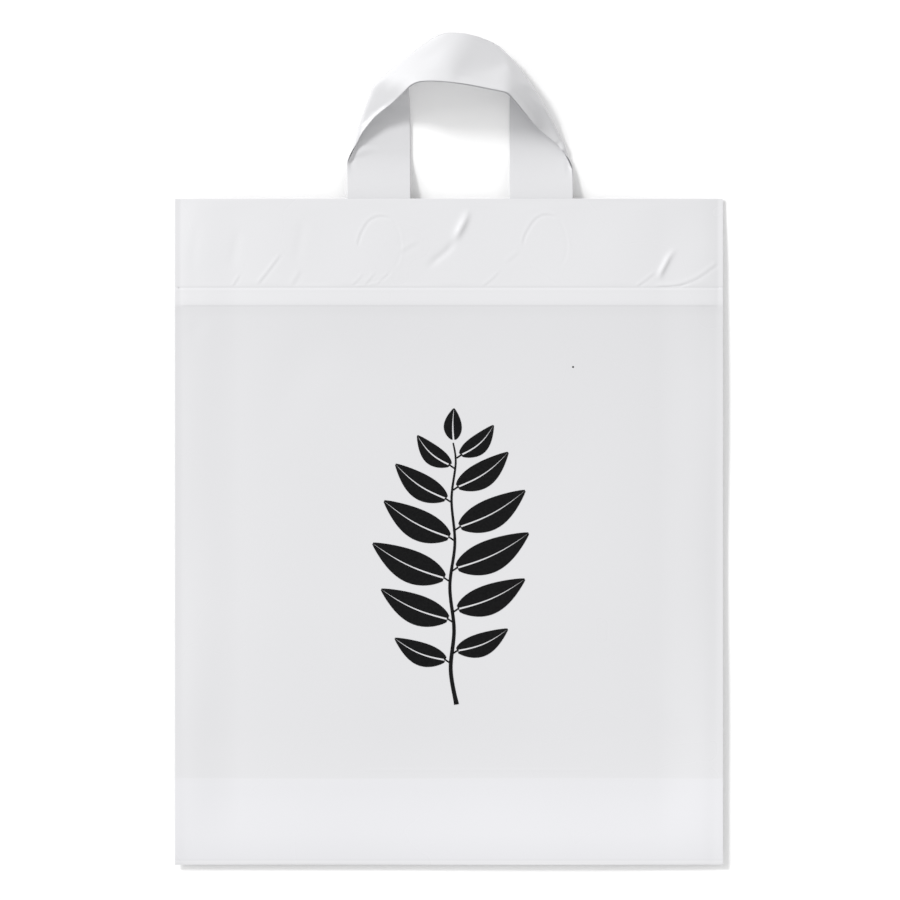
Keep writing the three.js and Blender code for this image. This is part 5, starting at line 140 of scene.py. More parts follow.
    2526, 21497, 3494, 2530, 21659, 3320, 2533, 21821, 3146, 2537, 21985, 2972, 2541, 22148, 2800, 2546, 22313, 2628, 2551, 22480, 2458, 2557, 22650, 2292, 2566, 22827, 2132, 2579, 23012, 1982, 2597, 23205, 1844, 2619, 23405, 1716, 2644, 23607, 1593, 2666, 23805, 1463, 2681, 23995, 1320, 2684, 24170, 1159, 2671, 24325, 979,
    2728, 21458, 3462, 2732, 21622, 3290, 2736, 21786, 3117, 2740, 21950, 2945, 2744, 22115, 2773, 2749, 22279, 2601, 2753, 22444, 2429, 2758, 22611, 2259, 2765, 22782, 2093, 2775, 22961, 1937, 2791, 23151, 1794, 2813, 23350, 1665, 2837, 23551, 1540, 2855, 23745, 1404, 2865, 23927, 1251, 2859, 24091, 1077, 2833, 24231, 887,
    2929, 21420, 3430, 2934, 21585, 3259, 2938, 21750, 3087, 2943, 21915, 2916, 2947, 22080, 2744, 2952, 22245, 2573, 2956, 22409, 2401, 2960, 22574, 2229, 2965, 22740, 2059, 2973, 22914, 1896, 2987, 23100, 1748, 3007, 23297, 1616, 3029, 23495, 1486, 3042, 23681, 1338, 3043, 23853, 1174, 3027, 24004, 991, 2990, 24133, 794,
    3130, 21379, 3396, 3134, 21544, 3225, 3139, 21709, 3053, 3143, 21874, 2882, 3148, 22040, 2711, 3153, 22206, 2541, 3158, 22372, 2371, 3162, 22537, 2199, 3167, 22702, 2028, 3173, 22872, 1861, 3185, 23053, 1708, 3203, 23246, 1570, 3219, 23435, 1427, 3223, 23609, 1264, 3215, 23770, 1089, 3185, 23907, 897, 3133, 24021, 694,
    3327, 21329, 3352, 3331, 21494, 3182, 3336, 21660, 3010, 3340, 21825, 2840, 3345, 21992, 2669, 3351, 22159, 2500, 3357, 22327, 2332, 3362, 22495, 2164, 3368, 22663, 1996, 3375, 22833, 1830, 3385, 23011, 1673, 3397, 23192, 1519, 3401, 23365, 1356, 3394, 23526, 1180, 3377, 23677, 998, 3333, 23800, 798, 3264, 23897, 592,
    3507, 21252, 3283, 3517, 21425, 3119, 3524, 21594, 2952, 3530, 21762, 2783, 3536, 21930, 2614, 3542, 22098, 2446, 3548, 22267, 2279, 3555, 22438, 2113, 3563, 22609, 1948, 3570, 22780, 1782, 3575, 22950, 1616, 3576, 23117, 1445, 3569, 23277, 1269, 3555, 23431, 1088, 3533, 23578, 902, 3472, 23683, 697, 3386, 23764, 489,
    3653, 21147, 3180, 3677, 21329, 3029, 3694, 21507, 2871, 3706, 21681, 2709, 3714, 21852, 2543, 3721, 22022, 2375, 3728, 22191, 2208, 3733, 22360, 2040, 3738, 22529, 1872, 3741, 22696, 1702, 3740, 22860, 1529, 3734, 23020, 1352, 3723, 23177, 1173, 3707, 23328, 990, 3680, 23470, 801, 3589, 23547, 593, 3477, 23605, 391,
    3765, 21027, 3053, 3807, 21215, 2913, 3839, 21401, 2767, 3862, 21582, 2614, 3877, 21759, 2455, 3887, 21931, 2290, 3893, 22101, 2122, 3897, 22268, 1952, 3898, 22433, 1781, 3897, 22597, 1607, 3892, 22758, 1431, 3885, 22917, 1254, 3873, 23072, 1073, 3850, 23218, 887, 3810, 23348, 692, 3674, 23384, 498, 3544, 23429, 304,
    3866, 20905, 2919, 3918, 21096, 2786, 3963, 21285, 2648, 3998, 21472, 2504, 4025, 21655, 2354, 4043, 21832, 2195, 4051, 22003, 2029, 4053, 22169, 1858, 4052, 22333, 1684, 4048, 22494, 1509, 4042, 22654, 1332, 4033, 22811, 1154, 4020, 22965, 972, 3988, 23103, 781, 3930, 23221, 581, 3825, 23304, 381, 3700, 23365, 184,
    3966, 20783, 2784, 4022, 20975, 2653, 4074, 21165, 2520, 4120, 21355, 2383, 4160, 21543, 2242, 4189, 21726, 2093, 4205, 21903, 1933, 4208, 22070, 1763, 4204, 22231, 1588, 4199, 22391, 1411, 4192, 22550, 1234, 4182, 22706, 1054, 4162, 22854, 868, 4107, 22974, 669, 4016, 23068, 469, 3874, 23126, 285, 3695, 23163, 131,
    4068, 20662, 2650, 4122, 20853, 2518, 4175, 21044, 2386, 4227, 21234, 2253, 4279, 21425, 2120, 4323, 21614, 1981, 4352, 21798, 1832, 4363, 21970, 1667, 4357, 22129, 1491, 4349, 22287, 1312, 4341, 22444, 1134, 4323, 22594, 950, 4283, 22727, 756, 4200, 22827, 556, 4074, 22897, 365, 3898, 22936, 208, 3687, 22957, 97,
    4171, 20541, 2516, 4218, 20731, 2381, 4269, 20921, 2247, 4323, 21112, 2115, 4381, 21304, 1986, 4439, 21495, 1857, 4488, 21685, 1722, 4513, 21866, 1569, 4508, 22026, 1392, 4497, 22180, 1212, 4485, 22335, 1031, 4452, 22473, 840, 4385, 22586, 640, 4269, 22664, 447, 4109, 22713, 276, 3905, 22736, 153, 3677, 22749, 82,
    4272, 20420, 2382, 4314, 20609, 2243, 4362, 20799, 2108, 4416, 20990, 1976, 4475, 21182, 1848, 4540, 21374, 1723, 4607, 21567, 1601, 4656, 21757, 1465, 4656, 21920, 1292, 4641, 22071, 1109, 4621, 22219, 923, 4561, 22338, 725, 4462, 22429, 528, 4315, 22487, 349, 4126, 22519, 206, 3904, 22532, 118, 3669, 22540, 79,
    4372, 20298, 2246, 4410, 20486, 2106, 4460, 20677, 1971, 4518, 20869, 1842, 4581, 21061, 1716, 4648, 21254, 1593, 4720, 21448, 1475, 4792, 21642, 1357, 4799, 21809, 1188, 4776, 21955, 1001, 4735, 22088, 808, 4649, 22188, 610, 4518, 22258, 423, 4343, 22299, 266, 4132, 22318, 155, 3900, 22326, 99, 3663, 22332, 79,
    4469, 20176, 2110, 4514, 20366, 1973, 4575, 20558, 1846, 4644, 20752, 1726, 4714, 20946, 1606, 4784, 21139, 1487, 4856, 21334, 1370, 4928, 21528, 1251, 4935, 21693, 1080, 4899, 21830, 889, 4834, 21946, 691, 4717, 22026, 499, 4557, 22077, 330, 4357, 22102, 201, 4132, 22113, 122, 3896, 22119, 89, 3658, 22123, 79,
    4573, 20055, 1975, 4639, 20250, 1855, 4717, 20446, 1745, 4796, 20643, 1637, 4870, 20838, 1523, 4941, 21032, 1405, 5009, 21225, 1283, 5065, 21412, 1146, 5063, 21571, 969, 5007, 21694, 773, 4912, 21790, 576, 4766, 21851, 398, 4580, 21886, 252, 4363, 21901, 154, 4130, 21907, 102, 3893, 21911, 83, 3655, 21915, 80,
    4685, 19938, 1843, 4779, 20137, 1752, 4869, 20336, 1657, 4953, 20535, 1556, 5031, 20732, 1446, 5101, 20926, 1326, 5161, 21115, 1194, 5198, 21293, 1039, 5176, 21439, 852, 5097, 21547, 656, 4972, 21623, 467, 4799, 21667, 309, 4592, 21688, 192, 4363, 21696, 123, 4127, 21700, 91, 3889, 21703, 81, 3651, 21707, 80,
    4785, 19826, 1699, 4894, 20023, 1622, 4997, 20223, 1541, 5094, 20423, 1454, 5182, 20622, 1356, 5256, 20818, 1241, 5305, 21002, 1098, 5321, 21168, 928, 5276, 21299, 734, 5171, 21390, 541, 5015, 21446, 368, 4818, 21473, 236, 4596, 21485, 149, 4362, 21490, 104, 4125, 21493, 85, 3887, 21496, 80, 3649, 21499, 80,
    4876, 19717, 1547, 4988, 19914, 1473, 5098, 20112, 1398, 5207, 20309, 1322, 5314, 20508, 1244, 5406, 20707, 1150, 5443, 20885, 995, 5435, 21037, 812, 5363, 21151, 615, 5226, 21220, 433, 5043, 21257, 284, 4828, 21273, 182, 4597, 21279, 122, 4360, 21283, 94, 4122, 21285, 82, 3884, 21288, 80, 3646, 21291, 80,
    4966, 19609, 1393, 5076, 19807, 1318, 5186, 20004, 1243, 5298, 20201, 1171, 5420, 20396, 1106, 5545, 20591, 1048, 5573, 20763, 887, 5536, 20898, 694, 5433, 20991, 500, 5263, 21038, 338, 5058, 21061, 218, 4831, 21070, 145, 4596, 21073, 107, 4358, 21075, 89, 4120, 21078, 81, 3882, 21080, 80, 3644, 21083, 80,
    5059, 19500, 1243, 5170, 19698, 1169, 5284, 19895, 1097, 5405, 20090, 1033, 5537, 20282, 981, 5679, 20471, 945, 5693, 20636, 773, 5621, 20749, 576, 5480, 20817, 395, 5285, 20847, 261, 5065, 20860, 171, 4831, 20864, 122, 4594, 20866, 98, 4356, 20868, 86, 4118, 20870, 80, 3880, 20872, 80, 3642, 20875, 80,
    5163, 19389, 1101, 5284, 19585, 1038, 5411, 19778, 982, 5546, 19970, 940, 5690, 20158, 916, 5811, 20350, 840, 5797, 20498, 653, 5685, 20586, 462, 5511, 20632, 304, 5297, 20649, 200, 5067, 20655, 139, 4830, 20657, 109, 4592, 20659, 93, 4354, 20661, 85, 4116, 20663, 81, 3878, 20665, 80, 3640, 20667, 80,
    5281, 19275, 972, 5415, 19467, 928, 5554, 19658, 891, 5696, 19847, 865, 5840, 20036, 844, 5935, 20224, 729, 5881, 20349, 532, 5730, 20411, 358, 5529, 20437, 232, 5302, 20446, 159, 5067, 20449, 120, 4829, 20450, 100, 4591, 20452, 89, 4353, 20454, 83, 4114, 20455, 80, 3876, 20457, 80, 3638, 20459, 80,
    5413, 19159, 861, 5557, 19347, 836, 5702, 19536, 814, 5846, 19725, 791, 5987, 19915, 764, 6045, 20091, 611, 5943, 20186, 417, 5757, 20223, 272, 5537, 20236, 179, 5303, 20240, 132, 5066, 20242, 105, 4828, 20244, 90, 4590, 20245, 83, 4351, 20246, 81, 4113, 20248, 80, 3875, 20249, 80, 3637, 20251, 80,
    5556, 19038, 769, 5704, 19224, 759, 5852, 19412, 745, 5996, 19603, 717, 6128, 19795, 671, 6136, 19948, 489, 5983, 20007, 315, 5771, 20026, 206, 5540, 20032, 145, 5304, 20034, 112, 5066, 20036, 92, 4827, 20037, 83, 4589, 20038, 80, 4350, 20039, 80, 4112, 20040, 80, 3874, 20041, 80, 3636, 20042, 80,
    5705, 18915, 690, 5845, 19107, 663, 5982, 19299, 630, 6122, 19490, 604, 6258, 19672, 562, 6196, 19782, 373, 6005, 19815, 235, 5777, 19823, 162, 5542, 19827, 118, 5304, 19828, 96, 5065, 19829, 85, 4827, 19830, 81, 4588, 19831, 80, 4349, 19832, 80, 4111, 19833, 80, 3873, 19834, 80, 3635, 19834, 80,
    5864, 18792, 633, 6004, 18985, 613, 6144, 19177, 589, 6288, 19368, 590, 6378, 19539, 450, 6236, 19602, 271, 6014, 19614, 182, 5779, 19618, 136, 5542, 19620, 105, 5304, 19621, 90, 5065, 19622, 83, 4826, 19623, 80, 4587, 19624, 80, 4349, 19624, 80, 4110, 19625, 80, 3872, 19626, 80, 3634, 19627, 80,
    6029, 18670, 594, 6171, 18863, 594, 6311, 19056, 590, 6447, 19247, 533, 6457, 19382, 329, 6250, 19405, 205, 6017, 19409, 152, 5780, 19412, 115, 5542, 19413, 96, 5303, 19414, 86, 5064, 19415, 82, 4825, 19416, 80, 4587, 19416, 80, 4348, 19417, 80, 4110, 19418, 80, 3872, 19418, 80, 3634, 19419, 80,
    6197, 18550, 566, 6338, 18743, 560, 6477, 18937, 563, 6581, 19116, 439, 6485, 19195, 230, 6255, 19201, 167, 6019, 19204, 126, 5780, 19206, 103, 5542, 19207, 90, 5303, 19207, 84, 5064, 19208, 81, 4825, 19209, 80, 4586, 19209, 80, 4348, 19210, 80, 4110, 19210, 80, 3871, 19211, 80, 3633, 19211, 80,
    6364, 18449, 534, 6503, 18625, 542, 6627, 18814, 495, 6680, 18966, 325, 6495, 18994, 167, 6258, 18997, 134, 6019, 18998, 109, 5780, 18999, 95, 5541, 19000, 87, 5302, 19001, 83, 5063, 19001, 81, 4825, 19002, 80, 4586, 19002, 80, 4348, 19002, 80, 4109, 19003, 80, 3871, 19003, 80, 3633, 19004, 80,
    6438, 18410, 380, 6595, 18544, 402, 6720, 18674, 382, 6696, 18769, 239, 6496, 18788, 141, 6258, 18790, 116, 6019, 18792, 100, 5780, 18792, 91, 5541, 18793, 85, 5302, 18794, 82, 5063, 18794, 81, 4824, 18794, 80, 4586, 18795, 80, 4347, 18795, 80, 4109, 18795, 80, 3871, 18796, 80, 3633, 18796, 80,
    6540, 18258, 393, 6706, 18396, 393, 6799, 18509, 309, 6715, 18571, 178, 6497, 18582, 121, 6258, 18584, 103, 6019, 18585, 93, 5779, 18586, 87, 5540, 18586, 83, 5301, 18587, 81, 5063, 18587, 80, 4824, 18587, 80, 4586, 18587, 80, 4347, 18588, 80, 4109, 18588, 80, 3871, 18588, 80, 3632, 18588, 80,
    6657, 18088, 414, 6828, 18238, 387, 6869, 18333, 248, 6729, 18371, 139, 6497, 18376, 108, 6257, 18377, 97, 6018, 18378, 89, 5779, 18379, 85, 5540, 18379, 82, 5301, 18379, 81, 5062, 18380, 80, 4824, 18380, 80, 4585, 18380, 80, 4347, 18380, 80, 4109, 18381, 80, 3870, 18381, 80, 3632, 18381, 80,
    6796, 17936, 445, 6936, 18074, 350, 6924, 18149, 184, 6733, 18166, 121, 6495, 18169, 102, 6256, 18170, 92, 6017, 18171, 86, 5778, 18172, 83, 5539, 18172, 81, 5301, 18172, 80, 5062, 18173, 80, 4823, 18173, 80, 4585, 18173, 80, 4347, 18173, 80, 4108, 18173, 80, 3870, 18173, 80, 3632, 18173, 80,
    6904, 17814, 330, 6999, 17899, 266, 6946, 17952, 126, 6734, 17961, 95, 6494, 17962, 90, 6255, 17963, 86, 6016, 17964, 83, 5777, 17965, 82, 5539, 17965, 81, 5300, 17965, 80, 5062, 17965, 80, 4823, 17965, 80, 4585, 17965, 80, 4346, 17966, 80, 4108, 17966, 80, 3870, 17966, 80, 3632, 17966, 80,
    7004, 17648, 317, 7062, 17716, 217, 6956, 17749, 97, 6732, 17754, 79, 6493, 17756, 81, 6254, 17757, 81, 6016, 17757, 81, 5777, 17757, 81, 5538, 17758, 80, 5300, 17758, 80, 5061, 17758, 80, 4823, 17758, 80, 4585, 17758, 80, 4346, 17758, 80, 4108, 17758, 80, 3870, 17758, 80, 3632, 17758, 80,
    7110, 17472, 321, 7124, 17528, 175, 6966, 17545, 82, 6731, 17547, 79, 6492, 17549, 80, 6253, 17549, 80, 6015, 17550, 80, 5776, 17550, 80, 5538, 17550, 80, 5299, 17550, 80, 5061, 17551, 80, 4823, 17551, 80, 4584, 17551, 80, 4346, 17551, 80, 4108, 17551, 80, 3870, 17551, 80, 3632, 17551, 80,
    7226, 17298, 310, 7175, 17334, 126, 6968, 17340, 91, 6730, 17341, 88, 6491, 17341, 83, 6253, 17342, 80, 6014, 17343, 80, 5776, 17343, 80, 5537, 17343, 80, 5299, 17343, 80, 5061, 17343, 80, 4822, 17343, 80, 4584, 17343, 80, 4346, 17343, 80, 4108, 17343, 80, 3870, 17343, 80, 3631, 17343, 80,
    7306, 17108, 280, 7198, 17131, 77, 6968, 17133, 80, 6729, 17134, 82, 6490, 17134, 81, 6252, 17135, 80, 6013, 17135, 80, 5775, 17135, 80, 5537, 17136, 80, 5299, 17136, 80, 5060, 17136, 80, 4822, 17136, 80, 4584, 17136, 80, 4346, 17136, 80, 4108, 17136, 80, 3869, 17136, 80, 3631, 17136, 80,
    7384, 16924, 213, 7203, 16924, 53, 6966, 16926, 78, 6728, 16927, 80, 6489, 16927, 80, 6251, 16927, 80, 6013, 16928, 80, 5775, 16928, 80, 5536, 16928, 80, 5298, 16928, 80, 5060, 16928, 80, 4822, 16928, 80, 4584, 16928, 80, 4346, 16928, 80, 4107, 16928, 80, 3869, 16928, 80, 3631, 16928, 80,
    7417, 16722, 167, 7202, 16717, 63, 6965, 16719, 79, 6727, 16719, 80, 6489, 16720, 80, 6251, 16720, 80, 6012, 16720, 80, 5774, 16720, 80, 5536, 16720, 80, 5298, 16721, 80, 5060, 16721, 80, 4822, 16721, 80, 4584, 16721, 80, 4345, 16721, 80, 4107, 16721, 80, 3869, 16721, 80, 3631, 16721, 80,
    7431, 16514, 141, 7202, 16511, 75, 6964, 16511, 80, 6726, 16512, 80, 6488, 16512, 80, 6250, 16512, 80, 6012, 16513, 80, 5774, 16513, 80, 5536, 16513, 80, 5298, 16513, 80, 5060, 16513, 80, 4822, 16513, 80, 4583, 16513, 80, 4345, 16513, 80, 4107, 16513, 80, 3869, 16513, 80, 3631, 16513, 80,
    7437, 16306, 123, 7202, 16304, 84, 6963, 16304, 80, 6726, 16304, 80, 6488, 16305, 80, 6250, 16305, 80, 6012, 16305, 80, 5774, 16305, 80, 5536, 16305, 80, 5298, 16305, 80, 5059, 16305, 80, 4821, 16306, 80, 4583, 16306, 80, 4345, 16306, 80, 4107, 16306, 80, 3869, 16306, 80, 3631, 16306, 80,
    7439, 16098, 106, 7202, 16097, 87, 6964, 16097, 80, 6725, 16097, 80, 6487, 16097, 80, 6250, 16097, 80, 6012, 16097, 80, 5774, 16098, 80, 5535, 16098, 80, 5297, 16098, 80, 5059, 16098, 80, 4821, 16098, 80, 4583, 16098, 80, 4345, 16098, 80, 4107, 16098, 80, 3869, 16098, 80, 3631, 16098, 80,
    7440, 15890, 93, 7202, 15890, 85, 6964, 15890, 80, 6726, 15890, 80, 6487, 15890, 80, 6249, 15890, 80, 6011, 15890, 80, 5773, 15890, 80, 5535, 15890, 80, 5297, 15890, 80, 5059, 15890, 80, 4821, 15890, 80, 4583, 15890, 80, 4345, 15891, 80, 4107, 15891, 80, 3869, 15891, 80, 3630, 15891, 80,
    7440, 15683, 83, 7202, 15683, 81, 6964, 15682, 80, 6726, 15682, 80, 6487, 15682, 80, 6249, 15682, 80, 6011, 15682, 80, 5773, 15682, 80, 5535, 15683, 80, 5297, 15683, 80, 5059, 15683, 80, 4821, 15683, 80, 4583, 15683, 80, 4345, 15683, 80, 4107, 15683, 80, 3868, 15683, 80, 3630, 15683, 80,
    7440, 15475, 80, 7202, 15475, 80, 6964, 15475, 80, 6726, 15475, 80, 6488, 15475, 80, 6249, 15475, 80, 6011, 15475, 80, 5773, 15475, 80, 5535, 15475, 80, 5297, 15475, 80, 5059, 15475, 80, 4821, 15475, 80, 4583, 15475, 80, 4345, 15475, 80, 4107, 15476, 80, 3868, 15476, 80, 3630, 15476, 80,
    7440, 15268, 80, 7202, 15267, 80, 6964, 15267, 80, 6726, 15267, 80, 6488, 15267, 80, 6249, 15267, 80, 6011, 15267, 80, 5773, 15267, 80, 5535, 15268, 80, 5297, 15268, 80, 5059, 15268, 80, 4821, 15268, 80, 4583, 15268, 80, 4345, 15268, 80, 4106, 15268, 80, 3868, 15268, 80, 3630, 15268, 80,
    7440, 15059, 80, 7202, 15060, 80, 6964, 15060, 80, 6726, 15060, 80, 6488, 15060, 80, 6249, 15060, 80, 6011, 15060, 80, 5773, 15060, 80, 5535, 15060, 80, 5297, 15060, 80, 5059, 15060, 80, 4821, 15060, 80, 4583, 15060, 80, 4344, 15060, 80, 4106, 15061, 80, 3868, 15061, 80, 3630, 15061, 80,
)
LOOP = np.array(LOOP_TABLE, float).reshape(-1, 17, 3) / 100.0
CALM = 16  # stations at each end that belong to a leg near the mouth

# ------------------------------------------------------------------ light levels
FLOOR_GLOW = 0.1
WORLD = 0.64
KEY = (1.7, 0.2)
KEY_FROM = (-1.0, 0.85, 0.98)
GLINT = (0.48, 0.3)
GLINT_FROM = (-0.96, 0.27, 0.62)
LIGHTS = (
    ("soft_upper_left", (-1.5, 1.3, 2.6), (0.7, 0.7), 0.5),
    ("soft_right", (1.9, -0.5, 2.2), (1.6, 1.6), 5.0),
)


# ------------------------------------------------------------------ small helpers
def smooth(t):
    u = np.clip(t, 0.0, 1.0)
    return u * u * (3 - 2 * u)


def photo(px, py):
    """A place in the picture plane, in the part's millimetres before the shift."""
    return np.array([(px - 449.0) * 0.6, (449.5 - py) * 0.6])


def path(*pts):
    return np.array([photo(*p) for p in pts])


def along(pts, x, y):
    """Signed distance to a polyline, and how far along it the nearest point is (0 to 1)."""
    best = np.full(x.shape, 1e9)
    side = np.zeros(x.shape)
    where = np.zeros(x.shape)
    seg = np.linalg.norm(np.diff(pts, axis=0), axis=1)
    cum = np.concatenate([[0], np.cumsum(seg)])
    for i in range(len(pts) - 1):
        a, d = pts[i], pts[i + 1] - pts[i]
        t = np.clip(((x - a[0]) * d[0] + (y - a[1]) * d[1]) / (d @ d), 0, 1)
        ex, ey = x - a[0] - t * d[0], y - a[1] - t * d[1]
        dist = np.hypot(ex, ey)
        near = dist < best
        best = np.where(near, dist, best)
        side = np.where(near, np.sign(d[0] * ey - d[1] * ex), side)
        where = np.where(near, (cum[i] + t * seg[i]) / cum[-1], where)
    return best * side, where


def curve(pts, n=40):
    """A smooth line through a few points."""
    pts = np.asarray(pts, float)
    out = []
    m = len(pts)
    for i in range(m - 1):
        p0, p1, p2, p3 = pts[max(0, i - 1)], pts[i], pts[i + 1], pts[min(m - 1, i + 2)]
        for t in np.linspace(0, 1, max(2, n // (m - 1)), endpoint=False):
            out.append(
                0.5
                * (
                    2 * p1
                    + (p2 - p0) * t
                    + (2 * p0 - 5 * p1 + 4 * p2 - p3) * t * t
                    + (3 * p1 - p0 - 3 * p2 + p3) * t**3
                )
            )
    out.append(pts[-1])
    return np.array(out)


def make_object(name, verts, faces, smooth_shade=True):
    verts = np.asarray(verts, float).reshape(-1, 3).copy()
    verts[:, 1] += SHIFT_Y
    mesh = bpy.data.meshes.new(name)
    mesh.from_pydata((verts * MM).tolist(), [], [tuple(int(k) for k in f) for f in faces])
    mesh.validate(clean_customdata=False)
    mesh.update()
    if smooth_shade:
        mesh.polygons.foreach_set("use_smooth", [True] * len(mesh.polygons))
    obj = bpy.data.objects.new(name, mesh)
    bpy.context.scene.collection.objects.link(obj)
    return obj


# ------------------------------------------------------------------ the folded web
def rise(x, y):
    across = np.maximum(0, 1 - np.power(np.minimum(1, np.abs(x) / INNER), 5))
    run = 0.12 + 0.88 * smooth((y - BAG_BOTTOM) / 160)
    return PILLOW * across * run


BACK = FILM / 2
BACK_INNER = BACK + PITCH


def front(x, y):
    return BACK_INNER + 2 * PITCH + rise(x, y)


def front_inner(x, y):
    return front(x, y) - PITCH


def ridge(d, width):
    return np.exp(-((d / width) ** 2))


def taper(t, lo=0.12, hi=0.12):
    return smooth(t / lo) * smooth((1 - t) / hi)


SEAL_Y = BAG_TOP - HEM_SEAL
FLAP_Y = BAG_TOP - FLAP
GUSSET_Y = BAG_BOTTOM + GUSSET

# The two heat-seal marks, one over each handle leg: an open arch with flared feet.
MARKS = []
for cx, arc, right, foot in (
    (
        380,
        path((358, 247), (360, 238), (363, 231), (368, 223), (374, 218.5), (381, 217), (387, 218), (392, 220)),
        path((392, 220), (397, 227), (400, 238), (401, 250), (398, 262), (392, 270)),
        path((392, 270), (386, 277), (376, 281), (364, 283), (352, 284)),
    ),
    (
        545,
        path((523, 246), (525, 237), (528, 231), (533, 223), (539, 217.5), (546, 215.5), (552, 216.5), (558, 219)),
        path((558, 219), (563, 226), (566, 237), (567, 249), (564, 261), (558, 269)),
        path((529, 266), (538, 272), (547, 278), (557, 285)),
    ),
):
    MARKS.append((curve(arc), 0.26))
    MARKS.append((curve(right), 0.08))
    MARKS.append((curve(foot), 0.11))

# Thin creases that end at the seal line, as polylines with their height and half width.
CREASES = [
    (path((232, 286), (236, 280), (240, 273)), 0.22, 0.7),
    (path((256, 285), (268, 270), (283, 250)), 0.26, 0.9),
    (path((290, 285), (296, 276), (300, 268)), 0.14, 1.5),
    (path((352, 285), (358, 279), (364, 272)), 0.16, 0.7),
    (path((364, 285), (370, 278), (376, 271)), 0.18, 0.7),
    (path((376, 284), (382, 278), (390, 272)), 0.16, 0.7),
    (path((482, 286), (491, 279), (501, 269)), 0.16, 0.8),
    (path((636, 286), (646, 279), (657, 270)), 0.22, 0.8),
    (path((505, 262), (512, 256), (520, 250)), 0.10, 1.2),
    (path((398, 252), (410, 244), (420, 240)), 0.12, 1.6),
]
RIGHT_CREASE = curve(path((655, 287.5), (668, 287.5), (680, 286), (692, 282), (700, 278), (708, 272.5), (718, 265)))
# Pleats that catch the light: centre line, height, half width.
PLEAT_1 = curve(path((453, 243), (459, 232), (465, 220), (470, 207)))
PLEAT_1_TAIL = curve(path((425, 271), (436, 260), (447, 251), (457, 239)))
PLEAT_2 = curve(path((659, 281), (661, 273), (665, 265), (670, 256), (678, 247)))


def feature(h, pts, x, y, reach, fn):
    """Adds fn(signed distance, place along) to h, only near the polyline."""
    lo, hi = pts.min(0) - reach, pts.max(0) + reach
    near = (x > lo[0]) & (x < hi[0]) & (y > lo[1]) & (y < hi[1])
    if near.any():
        h[near] += fn(*along(pts, x[near], y[near]))


